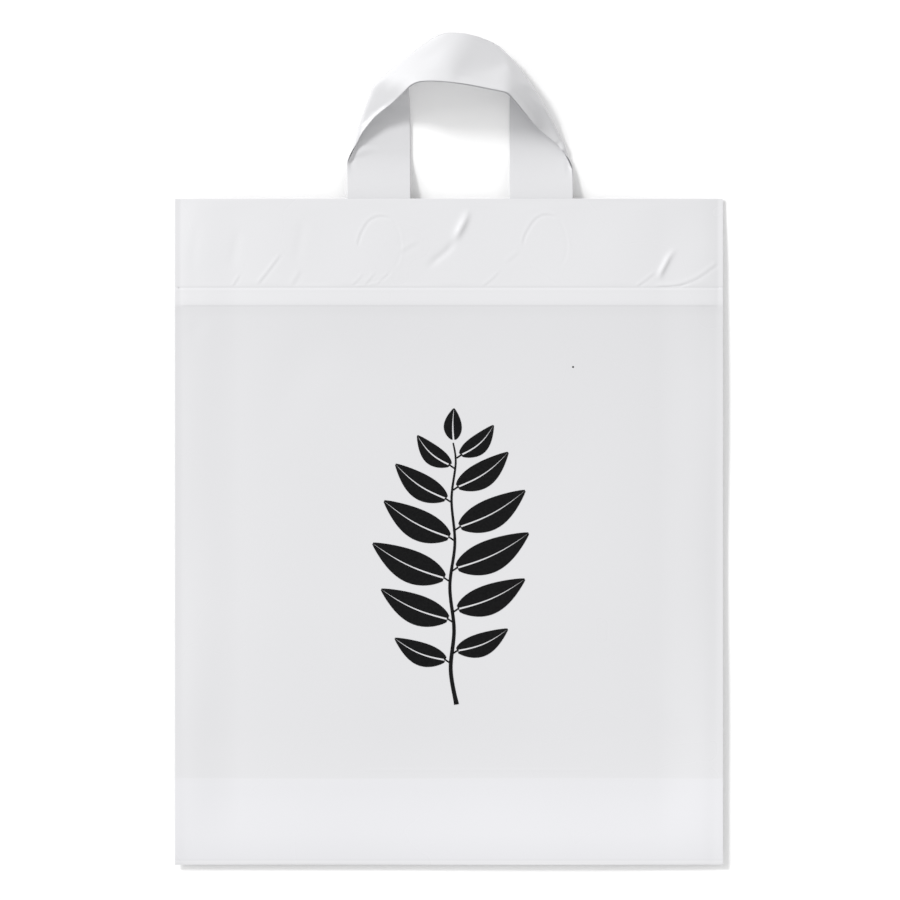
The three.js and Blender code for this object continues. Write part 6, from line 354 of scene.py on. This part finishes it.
def relief(x, y):
    """Height of the fine relief of the front film above its smooth shape."""
    h = np.zeros_like(x)
    inside = smooth((INNER - np.abs(x)) / 10)
    # Broad slack of the film.
    h += 0.20 * inside * (
        np.sin(x / 37.0 + 0.013 * y + 0.6) * np.sin(y / 52.0 + 0.3)
        + 0.6 * np.sin((x + 0.8 * y) / 46.0 + 1.1)
        + 0.35 * np.sin((x - 1.3 * y) / 29.0 + 2.0)
    )
    hem = smooth((y - SEAL_Y) / 3) * smooth((BAG_TOP - 1.5 - y) / 6)
    h += 0.10 * inside * hem * (
        np.sin(x / 8.5 + 0.08 * y) * np.sin(y / 13.0 + 1.0) + 0.7 * np.sin((x - 0.7 * y) / 11.0)
    )
    # Seal line of the hem, pressed in, and the step at the flap's free edge.
    h -= 0.16 * ridge(y - SEAL_Y + 0.5, 0.6)
    h += 0.06 * ridge(y - SEAL_Y + 2.0, 0.8)
    h -= 0.20 * smooth((FLAP_Y - 1.1 - y) / 1.0 + 0.5) * smooth((INNER + 1.0 - np.abs(x)) / 4)
    h += 0.04 * ridge(y - FLAP_Y + 2.8, 1.0)
    # Gusset fold under the panel, and a faint second crease a little above it.
    wander = 0.25 * np.sin(x / 40.0)
    h += 0.08 * smooth((GUSSET_Y + 0.4 + wander - y) / 1.0 + 0.5)
    h += 0.05 * ridge(y - (GUSSET_Y + 6.0), 0.7) * smooth((x + 54) / 10) * smooth((90 - x) / 10)
    # Flat strips of the side welds, and the pressed edge at the bottom fold.
    h -= 0.03 * ridge(np.abs(x) - INNER, 0.7)
    h -= 0.10 * ridge(y - (BAG_BOTTOM + 2.6), 0.5)
    h += 0.06 * ridge(y - (BAG_BOTTOM + 1.3), 0.5)
    for pts, amp in MARKS:
        feature(h, pts, x, y, 5, lambda d, t: amp * taper(t, 0.1, 0.15) * (-ridge(d, 0.6) + 0.5 * ridge(d - 1.4, 0.7)))
    for pts, amp, w in CREASES:
        feature(h, pts, x, y, 5 * w, lambda d, t: amp * taper(t, 0.15, 0.35) * (ridge(d, w) - 0.7 * ridge(d + 1.6 * w, w)))
    feature(h, RIGHT_CREASE, x, y, 8, lambda d, t: taper(t, 0.1, 0.02) * (-0.28 * ridge(d, 0.7) + 0.20 * ridge(d - 1.7, 1.2)))
    feature(h, PLEAT_1, x, y, 9, lambda d, t: 1.55 * taper(t, 0.4, 0.5) * np.where(d > 0, ridge(d, 2.3), ridge(d, 2.0)))
    feature(h, PLEAT_1_TAIL, x, y, 9, lambda d, t: -0.55 * taper(t, 0.4, 0.3) * ridge(d, 2.0))
    feature(h, PLEAT_2, x, y, 9, lambda d, t: 1.25 * taper(t, 0.3, 0.5) * np.where(d > 0, ridge(d, 1.7), ridge(d, 1.5)))
    # Faint wrinkle under the band at the right, and soft upright shades at the left.
    feature(h, path((700, 303), (711, 311), (722, 320)), x, y, 6, lambda d, t: -0.16 * taper(t, 0.3, 0.2) * ridge(d, 1.3))
    for px, y0, y1, amp in ((195, 215, 275, 0.12), (235, 225, 272, 0.18), (300, 215, 268, 0.16)):
        line = path((px + 5, y0), (px, (y0 + y1) / 2), (px - 4, y1))
        feature(h, line, x, y, 12, lambda d, t: -amp * taper(t, 0.35, 0.35) * ridge(d, 3.0))
    # Long shallow hollows in the panel.
    feature(h, path((330, 318), (305, 360), (280, 420), (262, 470)), x, y, 50, lambda d, t: -0.30 * taper(t, 0.3, 0.5) * ridge(d, 15.0))
    feature(h, path((205, 312), (198, 326), (190, 345)), x, y, 18, lambda d, t: -0.18 * taper(t, 0.3, 0.5) * ridge(d, 5.0))
    feature(h, path((620, 640), (660, 700), (715, 765)), x, y, 34, lambda d, t: -0.25 * taper(t, 0.4, 0.3) * ridge(d, 10.0))
    return h


def front_film(x, y):
    """Middle of the front film as it shows."""
    x, y = np.broadcast_arrays(np.asarray(x, float), np.asarray(y, float))
    x, y = x.copy(), y.copy()
    fade = smooth((BAG_TOP - y) / 0.8) * smooth((y - BAG_BOTTOM) / 0.8)
    return front(x, y) + relief(x, y) * fade


LAYER = 0.2  # from the front film down to what lies against its inner face


def under_front(x, y):
    return front_film(x, y) - LAYER


def curl(x, y):
    """How far the welded sides and the bottom fold stand off the table, all layers together."""
    side = smooth(1 - (HALF - np.abs(x) - 1.0) / 38.0)
    foot = smooth(1 - (y - BAG_BOTTOM - 1.0) / 44.0)
    wave = 1.0 + 0.18 * np.sin(y / 31.0 + 0.7) * side + 0.12 * np.sin(x / 47.0) * foot
    top = 0.35 + 0.65 * smooth((BAG_TOP - y) / 40.0)
    return (2.5 * (side * top + foot) - 1.7 * side * foot) * wave


FINE = np.linspace(-HALF, HALF, 413)
# Rows of the web, in the order in which the film runs. Each row is (y, z as a function of x, level),
# where level says how many columns it uses: 0 is the fine set, 1 every second, 2 every fourth.
rows = []


def row(y, z, level):
    rows.append((y, z, level))


def arc(yc, za, zb, reach, level, n=5):
    for k in range(1, n + 1):
        t = math.pi * k / (n + 1)
        row(
            yc + reach * math.sin(t),
            lambda x, t=t: (za(x) + zb(x)) / 2 + (za(x) - zb(x)) / 2 * math.cos(t),
            level,
        )


R = PITCH / 2
TOP = BAG_TOP - R - FILM / 2
LOW = BAG_BOTTOM + R + FILM / 2


for y in np.linspace(FLAP_Y + 0.9, TOP, 24):
    row(y, lambda x, y=y: under_front(x, y), 1)
arc(TOP, lambda x: under_front(x, TOP), lambda x: front_film(x, TOP), R, 1)
hem_rows = list(np.linspace(TOP, SEAL_Y + 2.0, 62)) + list(np.linspace(SEAL_Y + 1.6, SEAL_Y - 2.4, 17))
hem_rows += list(np.linspace(SEAL_Y - 3.0, FLAP_Y + 1.4, 10)) + list(np.linspace(FLAP_Y + 1.1, FLAP_Y - 2.6, 15))
for y in hem_rows:
    row(y, lambda x, y=y: front_film(x, y), 0)
body_rows = list(np.linspace(FLAP_Y - 4.5, GUSSET_Y + 9.0, 96)) + list(np.linspace(GUSSET_Y + 8.0, GUSSET_Y - 0.5, 18))
body_rows += list(np.linspace(GUSSET_Y - 3.0, BAG_BOTTOM + 5.0, 16)) + list(np.linspace(BAG_BOTTOM + 4.4, LOW, 12))
for y in body_rows:
    row(y, lambda x, y=y: front_film(x, y), 1)
APEX = GUSSET_Y - 1.0
arc(LOW, lambda x: front_film(x, LOW), lambda x: under_front(x, LOW), -R, 2)
for y in np.linspace(LOW, APEX, 20):
    row(y, lambda x, y=y: under_front(x, y), 2)
arc(APEX, lambda x: under_front(x, APEX), lambda x: np.full_like(x, BACK_INNER), 0.9, 2)
for y in np.linspace(APEX, LOW, 7):
    row(y, lambda x: np.full_like(x, BACK_INNER), 2)
arc(LOW, lambda x: np.full_like(x, BACK_INNER), lambda x: np.full_like(x, BACK), -R, 2)


def back_film(x, y):
    """Middle of the back film, which lies on the table: only grooves away from it."""
    fade = smooth((BAG_TOP - y) / 1.0) * smooth((y - BAG_BOTTOM) / 1.0)
    return BACK + fade * (
        0.14 * ridge(y - SEAL_Y, 0.7)
        + 0.12 * smooth((FLAP_Y - y) / 1.2 + 0.5)
        + 0.08 * ridge(np.abs(x) - INNER, 0.8)
    )


back_rows = list(np.linspace(LOW, FLAP_Y - 4.0, 56)) + list(np.linspace(FLAP_Y - 3.0, FLAP_Y + 3.0, 9))
back_rows += list(np.linspace(FLAP_Y + 5.0, SEAL_Y - 1.6, 4)) + list(np.linspace(SEAL_Y - 1.2, SEAL_Y + 1.2, 9))
back_rows += list(np.linspace(SEAL_Y + 3.0, TOP, 18))
for y in back_rows:
    row(y, lambda x, y=y: back_film(x, y), 2)
arc(TOP, lambda x: np.full_like(x, BACK), lambda x: np.full_like(x, BACK_INNER), R, 2)
for y in np.linspace(TOP, FLAP_Y, 16):
    row(y, lambda x: np.full_like(x, BACK_INNER), 2)


def build_web():
    verts, faces, first = [], [], []
    for y, z, level in rows:
        xs = FINE[:: 2**level]
        first.append(len(verts))
        zz = z(xs)
        verts.extend(zip(xs.tolist(), [float(y)] * len(xs), np.asarray(zz, float).tolist()))
    for i in range(len(rows) - 1):
        a, b = first[i], first[i + 1]
        la, lb = rows[i][2], rows[i + 1][2]
        na = (len(FINE) - 1) // 2**la
        nb = (len(FINE) - 1) // 2**lb
        if na == nb:
            for j in range(na):
                faces.append((a + j, b + j, b + j + 1, a + j + 1))
        elif na > nb:
            k = na // nb
            for j in range(nb):
                top = [a + j * k + m for m in range(k + 1)]
                mid = k // 2
                for m in range(mid):
                    faces.append((top[m], b + j, top[m + 1]))
                faces.append((top[mid], b + j, b + j + 1))
                for m in range(mid, k):
                    faces.append((top[m], b + j + 1, top[m + 1]))
        else:
            k = nb // na
            for j in range(na):
                low = [b + j * k + m for m in range(k + 1)]
                mid = k // 2
                for m in range(mid):
                    faces.append((a + j, low[m], low[m + 1]))
                faces.append((a + j, low[mid], a + j + 1))
                for m in range(mid, k):
                    faces.append((a + j + 1, low[m], low[m + 1]))
    verts = np.array(verts)
    verts[:, 2] += curl(np.clip(verts[:, 0], -HALF, HALF), np.clip(verts[:, 1], BAG_BOTTOM, BAG_TOP))
    return make_object("bag_film", verts, faces)


bag = build_web()


# ------------------------------------------------------------------ side welds
def build_weld(sign, name):
    """The cut and melted edge of one side: a low rounded bead through all the layers."""
    ys = np.linspace(BAG_BOTTOM + 0.15, BAG_TOP - 0.15, 134)
    prof = [(-2.6, 0.22), (-0.3, 0.16), (-0.02, 0.35), (0.04, 0.62), (-0.02, 0.90), (-0.3, 1.06), (-2.6, 1.0)]
    verts, faces = [], []
    n = len(prof)
    for k, y in enumerate(ys):
        w = 0.035 * math.sin(y / 3.1) + 0.02 * math.sin(y / 1.27 + 1)
        for dx, z in prof:
            verts.append((sign * (HALF + dx + (w if dx > -0.1 else 0)), y, z))
    for k in range(len(ys) - 1):
        for m in range(n):
            q = (k * n + m, k * n + (m + 1) % n, (k + 1) * n + (m + 1) % n, (k + 1) * n + m)
            faces.append(q if sign < 0 else q[::-1])
    cap0, cap1 = tuple(range(n)), tuple(range((len(ys) - 1) * n, len(ys) * n))
    faces.append(cap0[::-1] if sign < 0 else cap0)
    faces.append(cap1 if sign < 0 else cap1[::-1])
    verts = np.array(verts)
    verts[:, 2] += curl(np.clip(verts[:, 0], -HALF, HALF), verts[:, 1])
    return make_object(name, verts, faces)


weld_left = build_weld(-1, "side_weld_left")
weld_right = build_weld(1, "side_weld_right")


# ------------------------------------------------------------------ the handles
def spline(a, axis, k):
    """Natural cubic spline through evenly spaced samples, k times as fine."""
    a = np.moveaxis(a, axis, 0)
    n = len(a)
    m = np.zeros((n, n))
    rhs = np.zeros_like(a)
    m[0, 0] = m[-1, -1] = 1
    for i in range(1, n - 1):
        m[i, i - 1 : i + 2] = (1, 4, 1)
        rhs[i] = 6 * (a[i - 1] - 2 * a[i] + a[i + 1])
    c = np.linalg.solve(m, rhs.reshape(n, -1)).reshape(a.shape)
    out = []
    for u in np.arange((n - 1) * k + 1) / k:
        i = min(int(u), n - 2)
        t = u - i
        out.append(
            a[i] * (1 - t)
            + a[i + 1] * t
            + c[i] * ((1 - t) ** 3 - (1 - t)) / 6
            + c[i + 1] * (t**3 - t) / 6
        )
    return np.moveaxis(np.array(out), 0, axis)


def normals_of(g):
    du = np.empty_like(g)
    du[1:-1] = g[2:] - g[:-2]
    du[0], du[-1] = g[1] - g[0], g[-1] - g[-2]
    dv = np.empty_like(g)
    dv[:, 1:-1] = g[:, 2:] - g[:, :-2]
    dv[:, 0], dv[:, -1] = g[:, 1] - g[:, 0], g[:, -1] - g[:, -2]
    n = np.cross(dv, du)
    return n / np.linalg.norm(n, axis=-1, keepdims=True)


def build_handle(side, name):
    g = LOOP.copy()
    g = g + normals_of(g) * side * HANDLE_GAP
    last = len(g) - 1
    # The tucked ends of the front strip sink a little, clear of the marks pressed into the hem.
    film = (lambda x, y: under_front(x, y) - LAYER - 0.6 * smooth((BAG_TOP - y) / 8.0)) if side > 0 else (lambda x, y: np.full_like(x, BACK_INNER + FILM + SEAT))
    i = np.arange(len(g))[:, None] * np.ones(g.shape[1])[None]
    near = (np.minimum(i, last - i) < CALM) & (g[..., 1] < BAG_TOP + LEG_RISE)
    w = smooth((g[..., 1] - BAG_TOP) / LEG_RISE)
    g[..., 2] = np.where(near, w * g[..., 2] + (1 - w) * film(g[..., 0], BAG_TOP), g[..., 2])
    tucked = list(np.linspace(99.4, 148.5, 20))

    def leg(r):
        ys = np.repeat(np.array(tucked)[:, None], len(r), 1)
        xs = np.repeat(r[None, :, 0], len(tucked), 0)
        return np.stack([xs, ys, film(xs, ys)], -1)

    grid = np.concatenate([leg(g[0]), g, leg(g[-1])[::-1]])
    fine = spline(spline(grid, 0, 2), 1, 4)
    # Where the strip folds over at the left, its free edge curls up a little and catches the light.
    station = np.arange(len(fine))[:, None] / 2.0 - len(tucked)
    step = np.linalg.norm(np.diff(fine, axis=1), axis=-1)
    away = np.concatenate([np.zeros((len(fine), 1)), np.cumsum(step, axis=1)], axis=1)
    weights = [(k, math.exp(-((k / 7.0) ** 2))) for k in range(-14, 15)]
    calm = sum(w * np.roll(fine, k, 0) for k, w in weights) / sum(w for _, w in weights)
    part = smooth((station - 15.5) / 4.0) * smooth((44 - station) / 6.0)
    part = part + smooth((station - 76) / 6.0) * smooth((104.5 - station) / 4.0)
    part = part * smooth((20 - away) / 8.0)
    fine = fine + (calm - fine) * part[..., None]
    broad = np.interp(station, [17, 20, 26, 32, 38], [2.2, 3.3, 3.0, 2.4, 1.0])
    lip = 0.26 * ((broad - away) + np.sqrt((broad - away) ** 2 + 0.6)) * (away < broad + 3.0)
    lip = lip * smooth((station - 16.0) / 3.0) * smooth((40 - station) / 4.0)
    fine = fine - normals_of(fine) * lip[..., None]
    # Fine cross ripples of handled film, only where it hangs free.
    nrm = normals_of(fine)
    u = np.linspace(0, 1, len(fine))[:, None]
    v = np.linspace(0, 1, fine.shape[1])[None]
    free = smooth((u - 0.22) / 0.1) * smooth((0.78 - u) / 0.1)
    ripple = 0.05 * free * np.sin(v * 31 + 4 * np.sin(u * 9)) * ridge(v - 0.12, 0.16)
    ripple = ripple + 0.035 * free * np.sin(u * 70 + 5 * v) * np.sin(v * 3.1)
    fine = fine + nrm * ripple[..., None]
    nrm = normals_of(fine)
    n, m = fine.shape[:2]
    half = 0.06
    verts = np.concatenate([(fine + nrm * half).reshape(-1, 3), (fine - nrm * half).reshape(-1, 3)])
    faces = []
    o = n * m
    for a in range(n - 1):
        for b in range(m - 1):
            p = a * m + b
            faces.append((p, p + 1, p + m + 1, p + m))
            faces.append((o + p, o + p + m, o + p + m + 1, o + p + 1))
    for a in range(n - 1):
        p, q = a * m, a * m + m - 1
        faces.append((p, p + m, o + p + m, o + p))
        faces.append((q, o + q, o + q + m, q + m))
    for b in range(m - 1):
        p, q = b, (n - 1) * m + b
        faces.append((p, o + p, o + p + 1, p + 1))
        faces.append((q, q + 1, o + q + 1, o + q))
    return make_object(name, verts, faces)


handle_front = build_handle(1, "handle_front_film")
handle_back = build_handle(-1, "handle_back_film")


# ------------------------------------------------------------------ the print
# A plain leafy sprig stands where a printed design goes. It is its own thin coat of ink.
class Ink:
    def __init__(self):
        self.verts, self.faces = [], []

    def lift(self, p, h):
        return (float(p[0]), float(p[1]), h)

    def placed(self):
        """Every point, laid on the front film."""
        v = np.array(self.verts)
        v[:, 2] += front_film(v[:, 0], v[:, 1])
        return v

    def strip(self, left, right, n_across=4):
        """Closed thin plate between two edges that run side by side."""
        left, right = np.asarray(left), np.asarray(right)
        rows_, cols = len(left), n_across + 1
        base = len(self.verts)
        for h in (0.13, 0.07):
            for a, b in zip(left, right):
                for k in range(cols):
                    self.verts.append(self.lift(a + (b - a) * k / n_across, h))
        o = rows_ * cols
        f = self.faces.append
        for i in range(rows_ - 1):
            for k in range(cols - 1):
                p = base + i * cols + k
                f((p, p + 1, p + cols + 1, p + cols))
                f((o + p, o + p + cols, o + p + cols + 1, o + p + 1))
            p, q = base + i * cols, base + i * cols + cols - 1
            f((p, p + cols, o + p + cols, o + p))
            f((q, o + q, o + q + cols, q + cols))
        for k in range(cols - 1):
            p, q = base + k, base + (rows_ - 1) * cols + k
            f((p, o + p, o + p + 1, p + 1))
            f((q, q + 1, o + q + 1, o + q))

    def half_leaf(self, root, tip, bulge, bend, vein, sign):
        """One half of a leaf, from the open midrib out to its edge."""
        root, tip = np.array(root, float), np.array(tip, float)
        d = tip - root
        nrm = np.array([-d[1], d[0]]) / np.linalg.norm(d)
        t = np.linspace(0.02, 0.985, 26)
        mid = root + np.outer(t, d) + np.outer(np.sin(math.pi * t) * bend, nrm)
        inner = mid + np.outer(sign * vein * (1 - t) ** 0.7, nrm)
        out = np.sin(math.pi * np.clip(t, 0, 1) ** 0.8) ** 0.85
        outer = mid + np.outer(sign * (vein * (1 - t) ** 0.7 + bulge * out + 0.04), nrm)
        pair = (inner, outer) if sign < 0 else (outer, inner)
        self.strip(*pair)

    def leaf(self, root, tip, bulge, bend=0.0, vein=0.55):
        for sign in (-1, 1):
            self.half_leaf(root, tip, bulge, bend, vein, sign)

    def disc(self, c, r, n=20):
        """A round dot, as two plates of rings round its centre."""
        t = np.linspace(0, 2 * math.pi, n, endpoint=False)
        base = len(self.verts)
        c = np.array(c, float)
        for h in (0.13, 0.07):
            self.verts.append(self.lift(c, h))
            for a in t:
                self.verts.append(self.lift(c + r * np.array([math.cos(a), math.sin(a)]), h))
        o = n + 1
        for k in range(n):
            a, b = base + 1 + k, base + 1 + (k + 1) % n
            self.faces.append((base, a, b))
            self.faces.append((base + o, o + b, o + a))
            self.faces.append((a, o + a, o + b, b))


ink = Ink()
STEM = curve([(4.5, -153), (1.0, -132), (3.0, -108), (0.5, -82), (3.5, -56), (1.5, -30), (4.0, -8), (2.5, 4)], 120)
tang = np.gradient(STEM, axis=0)
tang /= np.linalg.norm(tang, axis=1, keepdims=True)
side_n = np.stack([-tang[:, 1], tang[:, 0]], 1)
wid = np.interp(np.linspace(0, 1, len(STEM)), [0, 0.05, 0.5, 1], [1.5, 1.25, 0.9, 0.45])[:, None]
ink.strip(STEM + side_n * wid, STEM - side_n * wid, 2)


def on_stem(y):
    k = int(np.abs(STEM[:, 1] - y).argmin())
    return STEM[k]


for y, reach, up_, fat in (
    (-128, 34, 15, 6.6),
    (-104, 44, 20, 8.6),
    (-79, 47, 23, 9.4),
    (-54, 43, 24, 8.8),
    (-31, 34, 23, 7.4),
    (-11, 23, 20, 5.6),
):
    for s, dy in ((-1, 0.0), (1, 6.0)):
        p = on_stem(y + dy)
        start = p + np.array([s * 2.6, 1.6])
        end = p + np.array([s * reach, up_])
        ink.leaf(start, end, fat, bend=-s * 2.6)
        a, b = p + np.array([s * 0.6, 0.0]), start + np.array([s * 1.4, 0.7])
        n2 = np.array([-(b - a)[1], (b - a)[0]])
        n2 = n2 / np.linalg.norm(n2) * 0.5
        ink.strip([a + n2, b + n2], [a - n2, b - n2], 1)
ink.leaf(on_stem(4) + np.array([0.2, 1.5]), (3.0, 25.0), 5.0, bend=0.6)
ink.disc(photo(573, 367), 0.55, 12)
print_piece = make_object("printed_sprig", ink.placed(), ink.faces, smooth_shade=False)


# ------------------------------------------------------------------ materials
def new_material(name):
    mat = bpy.data.materials.new(name)
    mat.use_nodes = True
    nt = mat.node_tree
    nt.nodes.clear()
    out = nt.nodes.new("ShaderNodeOutputMaterial")
    bsdf = nt.nodes.new("ShaderNodeBsdfPrincipled")
    nt.links.new(bsdf.outputs[0], out.inputs[0])
    return mat, nt, bsdf


def srgb(v):
    v = v / 255.0
    return v / 12.92 if v <= 0.04045 else ((v + 0.055) / 1.055) ** 2.4


def tone(v, blue=0.0):
    return (srgb(v), srgb(v), srgb(v + blue), 1.0)


def node(nt, kind, **values):
    n = nt.nodes.new(kind)
    for k, v in values.items():
        setattr(n, k, v)
    return n


def math_node(nt, op, a, b=None, clamp=False):
    n = node(nt, "ShaderNodeMath", operation=op, use_clamp=clamp)
    for i, v in enumerate((a, b)):
        if v is None:
            continue
        if isinstance(v, (int, float)):
            n.inputs[i].default_value = v
        else:
            nt.links.new(v, n.inputs[i])
    return n.outputs[0]


def film_material(name, regions, mottle, rough, bump_height, bump_scale):
    """White film. regions are (y in mm, tone) steps from the bottom to the top."""
    mat, nt, bsdf = new_material(name)
    coord = node(nt, "ShaderNodeTexCoord")
    sep = node(nt, "ShaderNodeSeparateXYZ")
    nt.links.new(coord.outputs["Object"], sep.inputs[0])
    lo, hi = -0.26, 0.26
    ramp = node(nt, "ShaderNodeValToRGB")
    ramp.color_ramp.interpolation = "LINEAR"
    pos = math_node(nt, "MULTIPLY_ADD", sep.outputs[1], 1 / (hi - lo))
    pos.node.inputs[2].default_value = -lo / (hi - lo)
    nt.links.new(pos, ramp.inputs[0])
    els = ramp.color_ramp.elements
    while len(els) > 1:
        els.remove(els[-1])
    first = True
    for y, value, blue in regions:
        p = ((y + SHIFT_Y) * MM - lo) / (hi - lo)
        e = els[0] if first else els.new(p)
        e.position = p
        e.color = tone(value, blue)
        first = False
    cloud = node(nt, "ShaderNodeTexNoise")
    cloud.inputs["Scale"].default_value = 9.0
    cloud.inputs["Detail"].default_value = 3.0
    nt.links.new(coord.outputs["Object"], cloud.inputs["Vector"])
    shade = node(nt, "ShaderNodeMapRange")
    shade.inputs["From Min"].default_value = 0.3
    shade.inputs["From Max"].default_value = 0.7
    shade.inputs["To Min"].default_value = 1.0 - mottle
    shade.inputs["To Max"].default_value = 1.0 + mottle
    nt.links.new(cloud.outputs["Fac"], shade.inputs["Value"])
    mul = node(nt, "ShaderNodeVectorMath", operation="SCALE")
    nt.links.new(ramp.outputs["Color"], mul.inputs[0])
    nt.links.new(shade.outputs[0], mul.inputs["Scale"])
    nt.links.new(mul.outputs[0], bsdf.inputs["Base Color"])
    # Roughness and a very fine pebble vary over the film.
    grain = node(nt, "ShaderNodeTexNoise")
    grain.inputs["Scale"].default_value = bump_scale
    grain.inputs["Detail"].default_value = 4.0
    nt.links.new(coord.outputs["Object"], grain.inputs["Vector"])
    r = node(nt, "ShaderNodeMapRange")
    r.inputs["From Min"].default_value = 0.3
    r.inputs["From Max"].default_value = 0.7
    r.inputs["To Min"].default_value = rough - 0.05
    r.inputs["To Max"].default_value = rough + 0.07
    nt.links.new(cloud.outputs["Fac"], r.inputs["Value"])
    nt.links.new(r.outputs[0], bsdf.inputs["Roughness"])
    bump = node(nt, "ShaderNodeBump")
    bump.inputs["Strength"].default_value = 1.0
    bump.inputs["Distance"].default_value = bump_height
    nt.links.new(grain.outputs["Fac"], bump.inputs["Height"])
    nt.links.new(bump.outputs[0], bsdf.inputs["Normal"])
    bsdf.inputs["IOR"].default_value = 1.51
    bsdf.inputs["Specular IOR Level"].default_value = 0.5
    return mat


BODY_TONES = [
    # Darker along the bottom fold: painted shade in its pressed groove, and a darker edge that offsets the light on the
    # lifted fold.
    (BAG_BOTTOM - 1, 225, 2),
    (BAG_BOTTOM + 1.2, 226, 2),
    (BAG_BOTTOM + 1.9, 222, 2),
    (BAG_BOTTOM + 2.8, 222, 2),
    (BAG_BOTTOM + 3.6, 225, 3),
    (BAG_BOTTOM + 18, 228, 3),
    (GUSSET_Y - 1.0, 229, 3),
    (GUSSET_Y + 1.6, 225, 2),
    (GUSSET_Y + 30, 223, 2),
    (40, 221, 2),
    (FLAP_Y - 8, 219, 2),
    # Darker just below the flap's free edge: painted shade under its step.
    (FLAP_Y - 2.2, 217, 2),
    (FLAP_Y - 1.2, 216, 2),
    (FLAP_Y - 0.2, 222, 2),
    (FLAP_Y + 0.6, 226, 2),
    (SEAL_Y - 1.8, 227, 2),
    # Darker along the seal line: painted shade in its pressed groove.
    (SEAL_Y - 1.0, 224, 2),
    (SEAL_Y, 223, 2),
    (SEAL_Y + 1.4, 225, 2),
    (BAG_TOP, 225, 2),
]
film = film_material("film_white", BODY_TONES, 0.006, 0.28, 0.00002, 900.0)
# The loop film is darker towards the top of the loop: painted shade on the raised band, which the lamps light more
# strongly.
handle_film = film_material("film_handle", [(-249, 218, 2), (150, 218, 2), (190, 217, 2), (215, 216, 2), (249, 214, 2)], 0.008, 0.24, 0.00001, 700.0)
weld = film_material("film_weld", [(-249, 226, 2), (250, 226, 2)], 0.01, 0.42, 0.00008, 420.0)

ink_mat, nt, bsdf = new_material("ink_black")
coord = node(nt, "ShaderNodeTexCoord")
speck = node(nt, "ShaderNodeTexNoise")
speck.inputs["Scale"].default_value = 700.0
speck.inputs["Detail"].default_value = 5.0
nt.links.new(coord.outputs["Object"], speck.inputs["Vector"])
tint = node(nt, "ShaderNodeValToRGB")
tint.color_ramp.elements[0].position = 0.35
tint.color_ramp.elements[0].color = (0.004, 0.004, 0.0045, 1)
tint.color_ramp.elements[1].position = 0.75
tint.color_ramp.elements[1].color = (0.009, 0.009, 0.0095, 1)
nt.links.new(speck.outputs["Fac"], tint.inputs[0])
nt.links.new(tint.outputs[0], bsdf.inputs["Base Color"])
rr = node(nt, "ShaderNodeMapRange")
rr.inputs["To Min"].default_value = 0.5
rr.inputs["To Max"].default_value = 0.68
nt.links.new(speck.outputs["Fac"], rr.inputs["Value"])
nt.links.new(rr.outputs[0], bsdf.inputs["Roughness"])
bsdf.inputs["Specular IOR Level"].default_value = 0.12

for obj, mat, slot_name in (
    (bag, film, "body_film"),
    (weld_left, weld, "body_film"),
    (weld_right, weld, "body_film"),
    (handle_front, handle_film, "handle_film"),
    (handle_back, handle_film, "handle_film"),
    (print_piece, ink_mat, "ink"),
):
    obj.data.materials.append(mat)
    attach(obj, "root")
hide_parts("bag_body")
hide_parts("front_handle")
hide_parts("back_handle")

# ------------------------------------------------------------------ floor, light, camera
mesh = bpy.data.meshes.new("floor")
S = 40.0
mesh.from_pydata([(-S, -S, 0), (S, -S, 0), (S, S, 0), (-S, S, 0)], [], [(0, 1, 2, 3)])
floor = bpy.data.objects.new("floor", mesh)
bpy.context.scene.collection.objects.link(floor)
floor.location.z = -0.00005
fm, nt, bsdf = new_material("floor_white")
bsdf.inputs["Base Color"].default_value = (0.92, 0.92, 0.92, 1)
bsdf.inputs["Roughness"].default_value = 0.9
bsdf.inputs["Specular IOR Level"].default_value = 0.0
bsdf.inputs["Emission Color"].default_value = (1, 1, 1, 1)
bsdf.inputs["Emission Strength"].default_value = FLOOR_GLOW
floor.data.materials.append(fm)

world = bpy.data.worlds.new("studio")
bpy.context.scene.world = world
world.use_nodes = True
bg = world.node_tree.nodes["Background"]
bg.inputs[0].default_value = (1, 1, 1, 1)
bg.inputs[1].default_value = WORLD


def area(name, place, size, power, aim=(0, 0.02, 0)):
    data = bpy.data.lights.new(name, "AREA")
    data.shape = "RECTANGLE"
    data.size, data.size_y = size
    data.energy = power
    obj = bpy.data.objects.new(name, data)
    obj.location = place
    obj.rotation_euler = (Vector(aim) - Vector(place)).to_track_quat("-Z", "Y").to_euler()
    obj.visible_camera = False
    bpy.context.scene.collection.objects.link(obj)


for spec in LIGHTS:
    area(*spec)
# The key is broad and far off, low at the upper left, so that it lights the whole bag alike.
# It gives no shine, so the film does not glare white from the far side.
# The other is weak and lower, nearly from the left, for the glint along the fold of the handles.
for name, (strength, angle), place in (("key", KEY, KEY_FROM), ("glint", GLINT, GLINT_FROM)):
    data = bpy.data.lights.new(name, "SUN")
    data.energy, data.angle = strength, angle
    obj = bpy.data.objects.new(name, data)
    obj.rotation_euler = (-Vector(place)).to_track_quat("-Z", "Y").to_euler()
    obj.visible_glossy = name == "glint"
    bpy.context.scene.collection.objects.link(obj)

cam_data = bpy.data.cameras.new("camera")
cam = bpy.data.objects.new("camera", cam_data)
bpy.context.scene.collection.objects.link(cam)
bpy.context.scene.camera = cam
DISTANCE = 6.0
cam_data.sensor_width = 36.0
cam_data.lens = 36.0 * DISTANCE / 0.54
cam_data.clip_start, cam_data.clip_end = 0.1, 100.0
centre = photo(450, 450)
cam.location = (centre[0] * MM, (centre[1] + SHIFT_Y) * MM, DISTANCE + 0.005)
cam.rotation_euler = (0, 0, 0)

scene = bpy.context.scene
scene.view_settings.view_transform = "Standard"
scene.view_settings.look = "None"
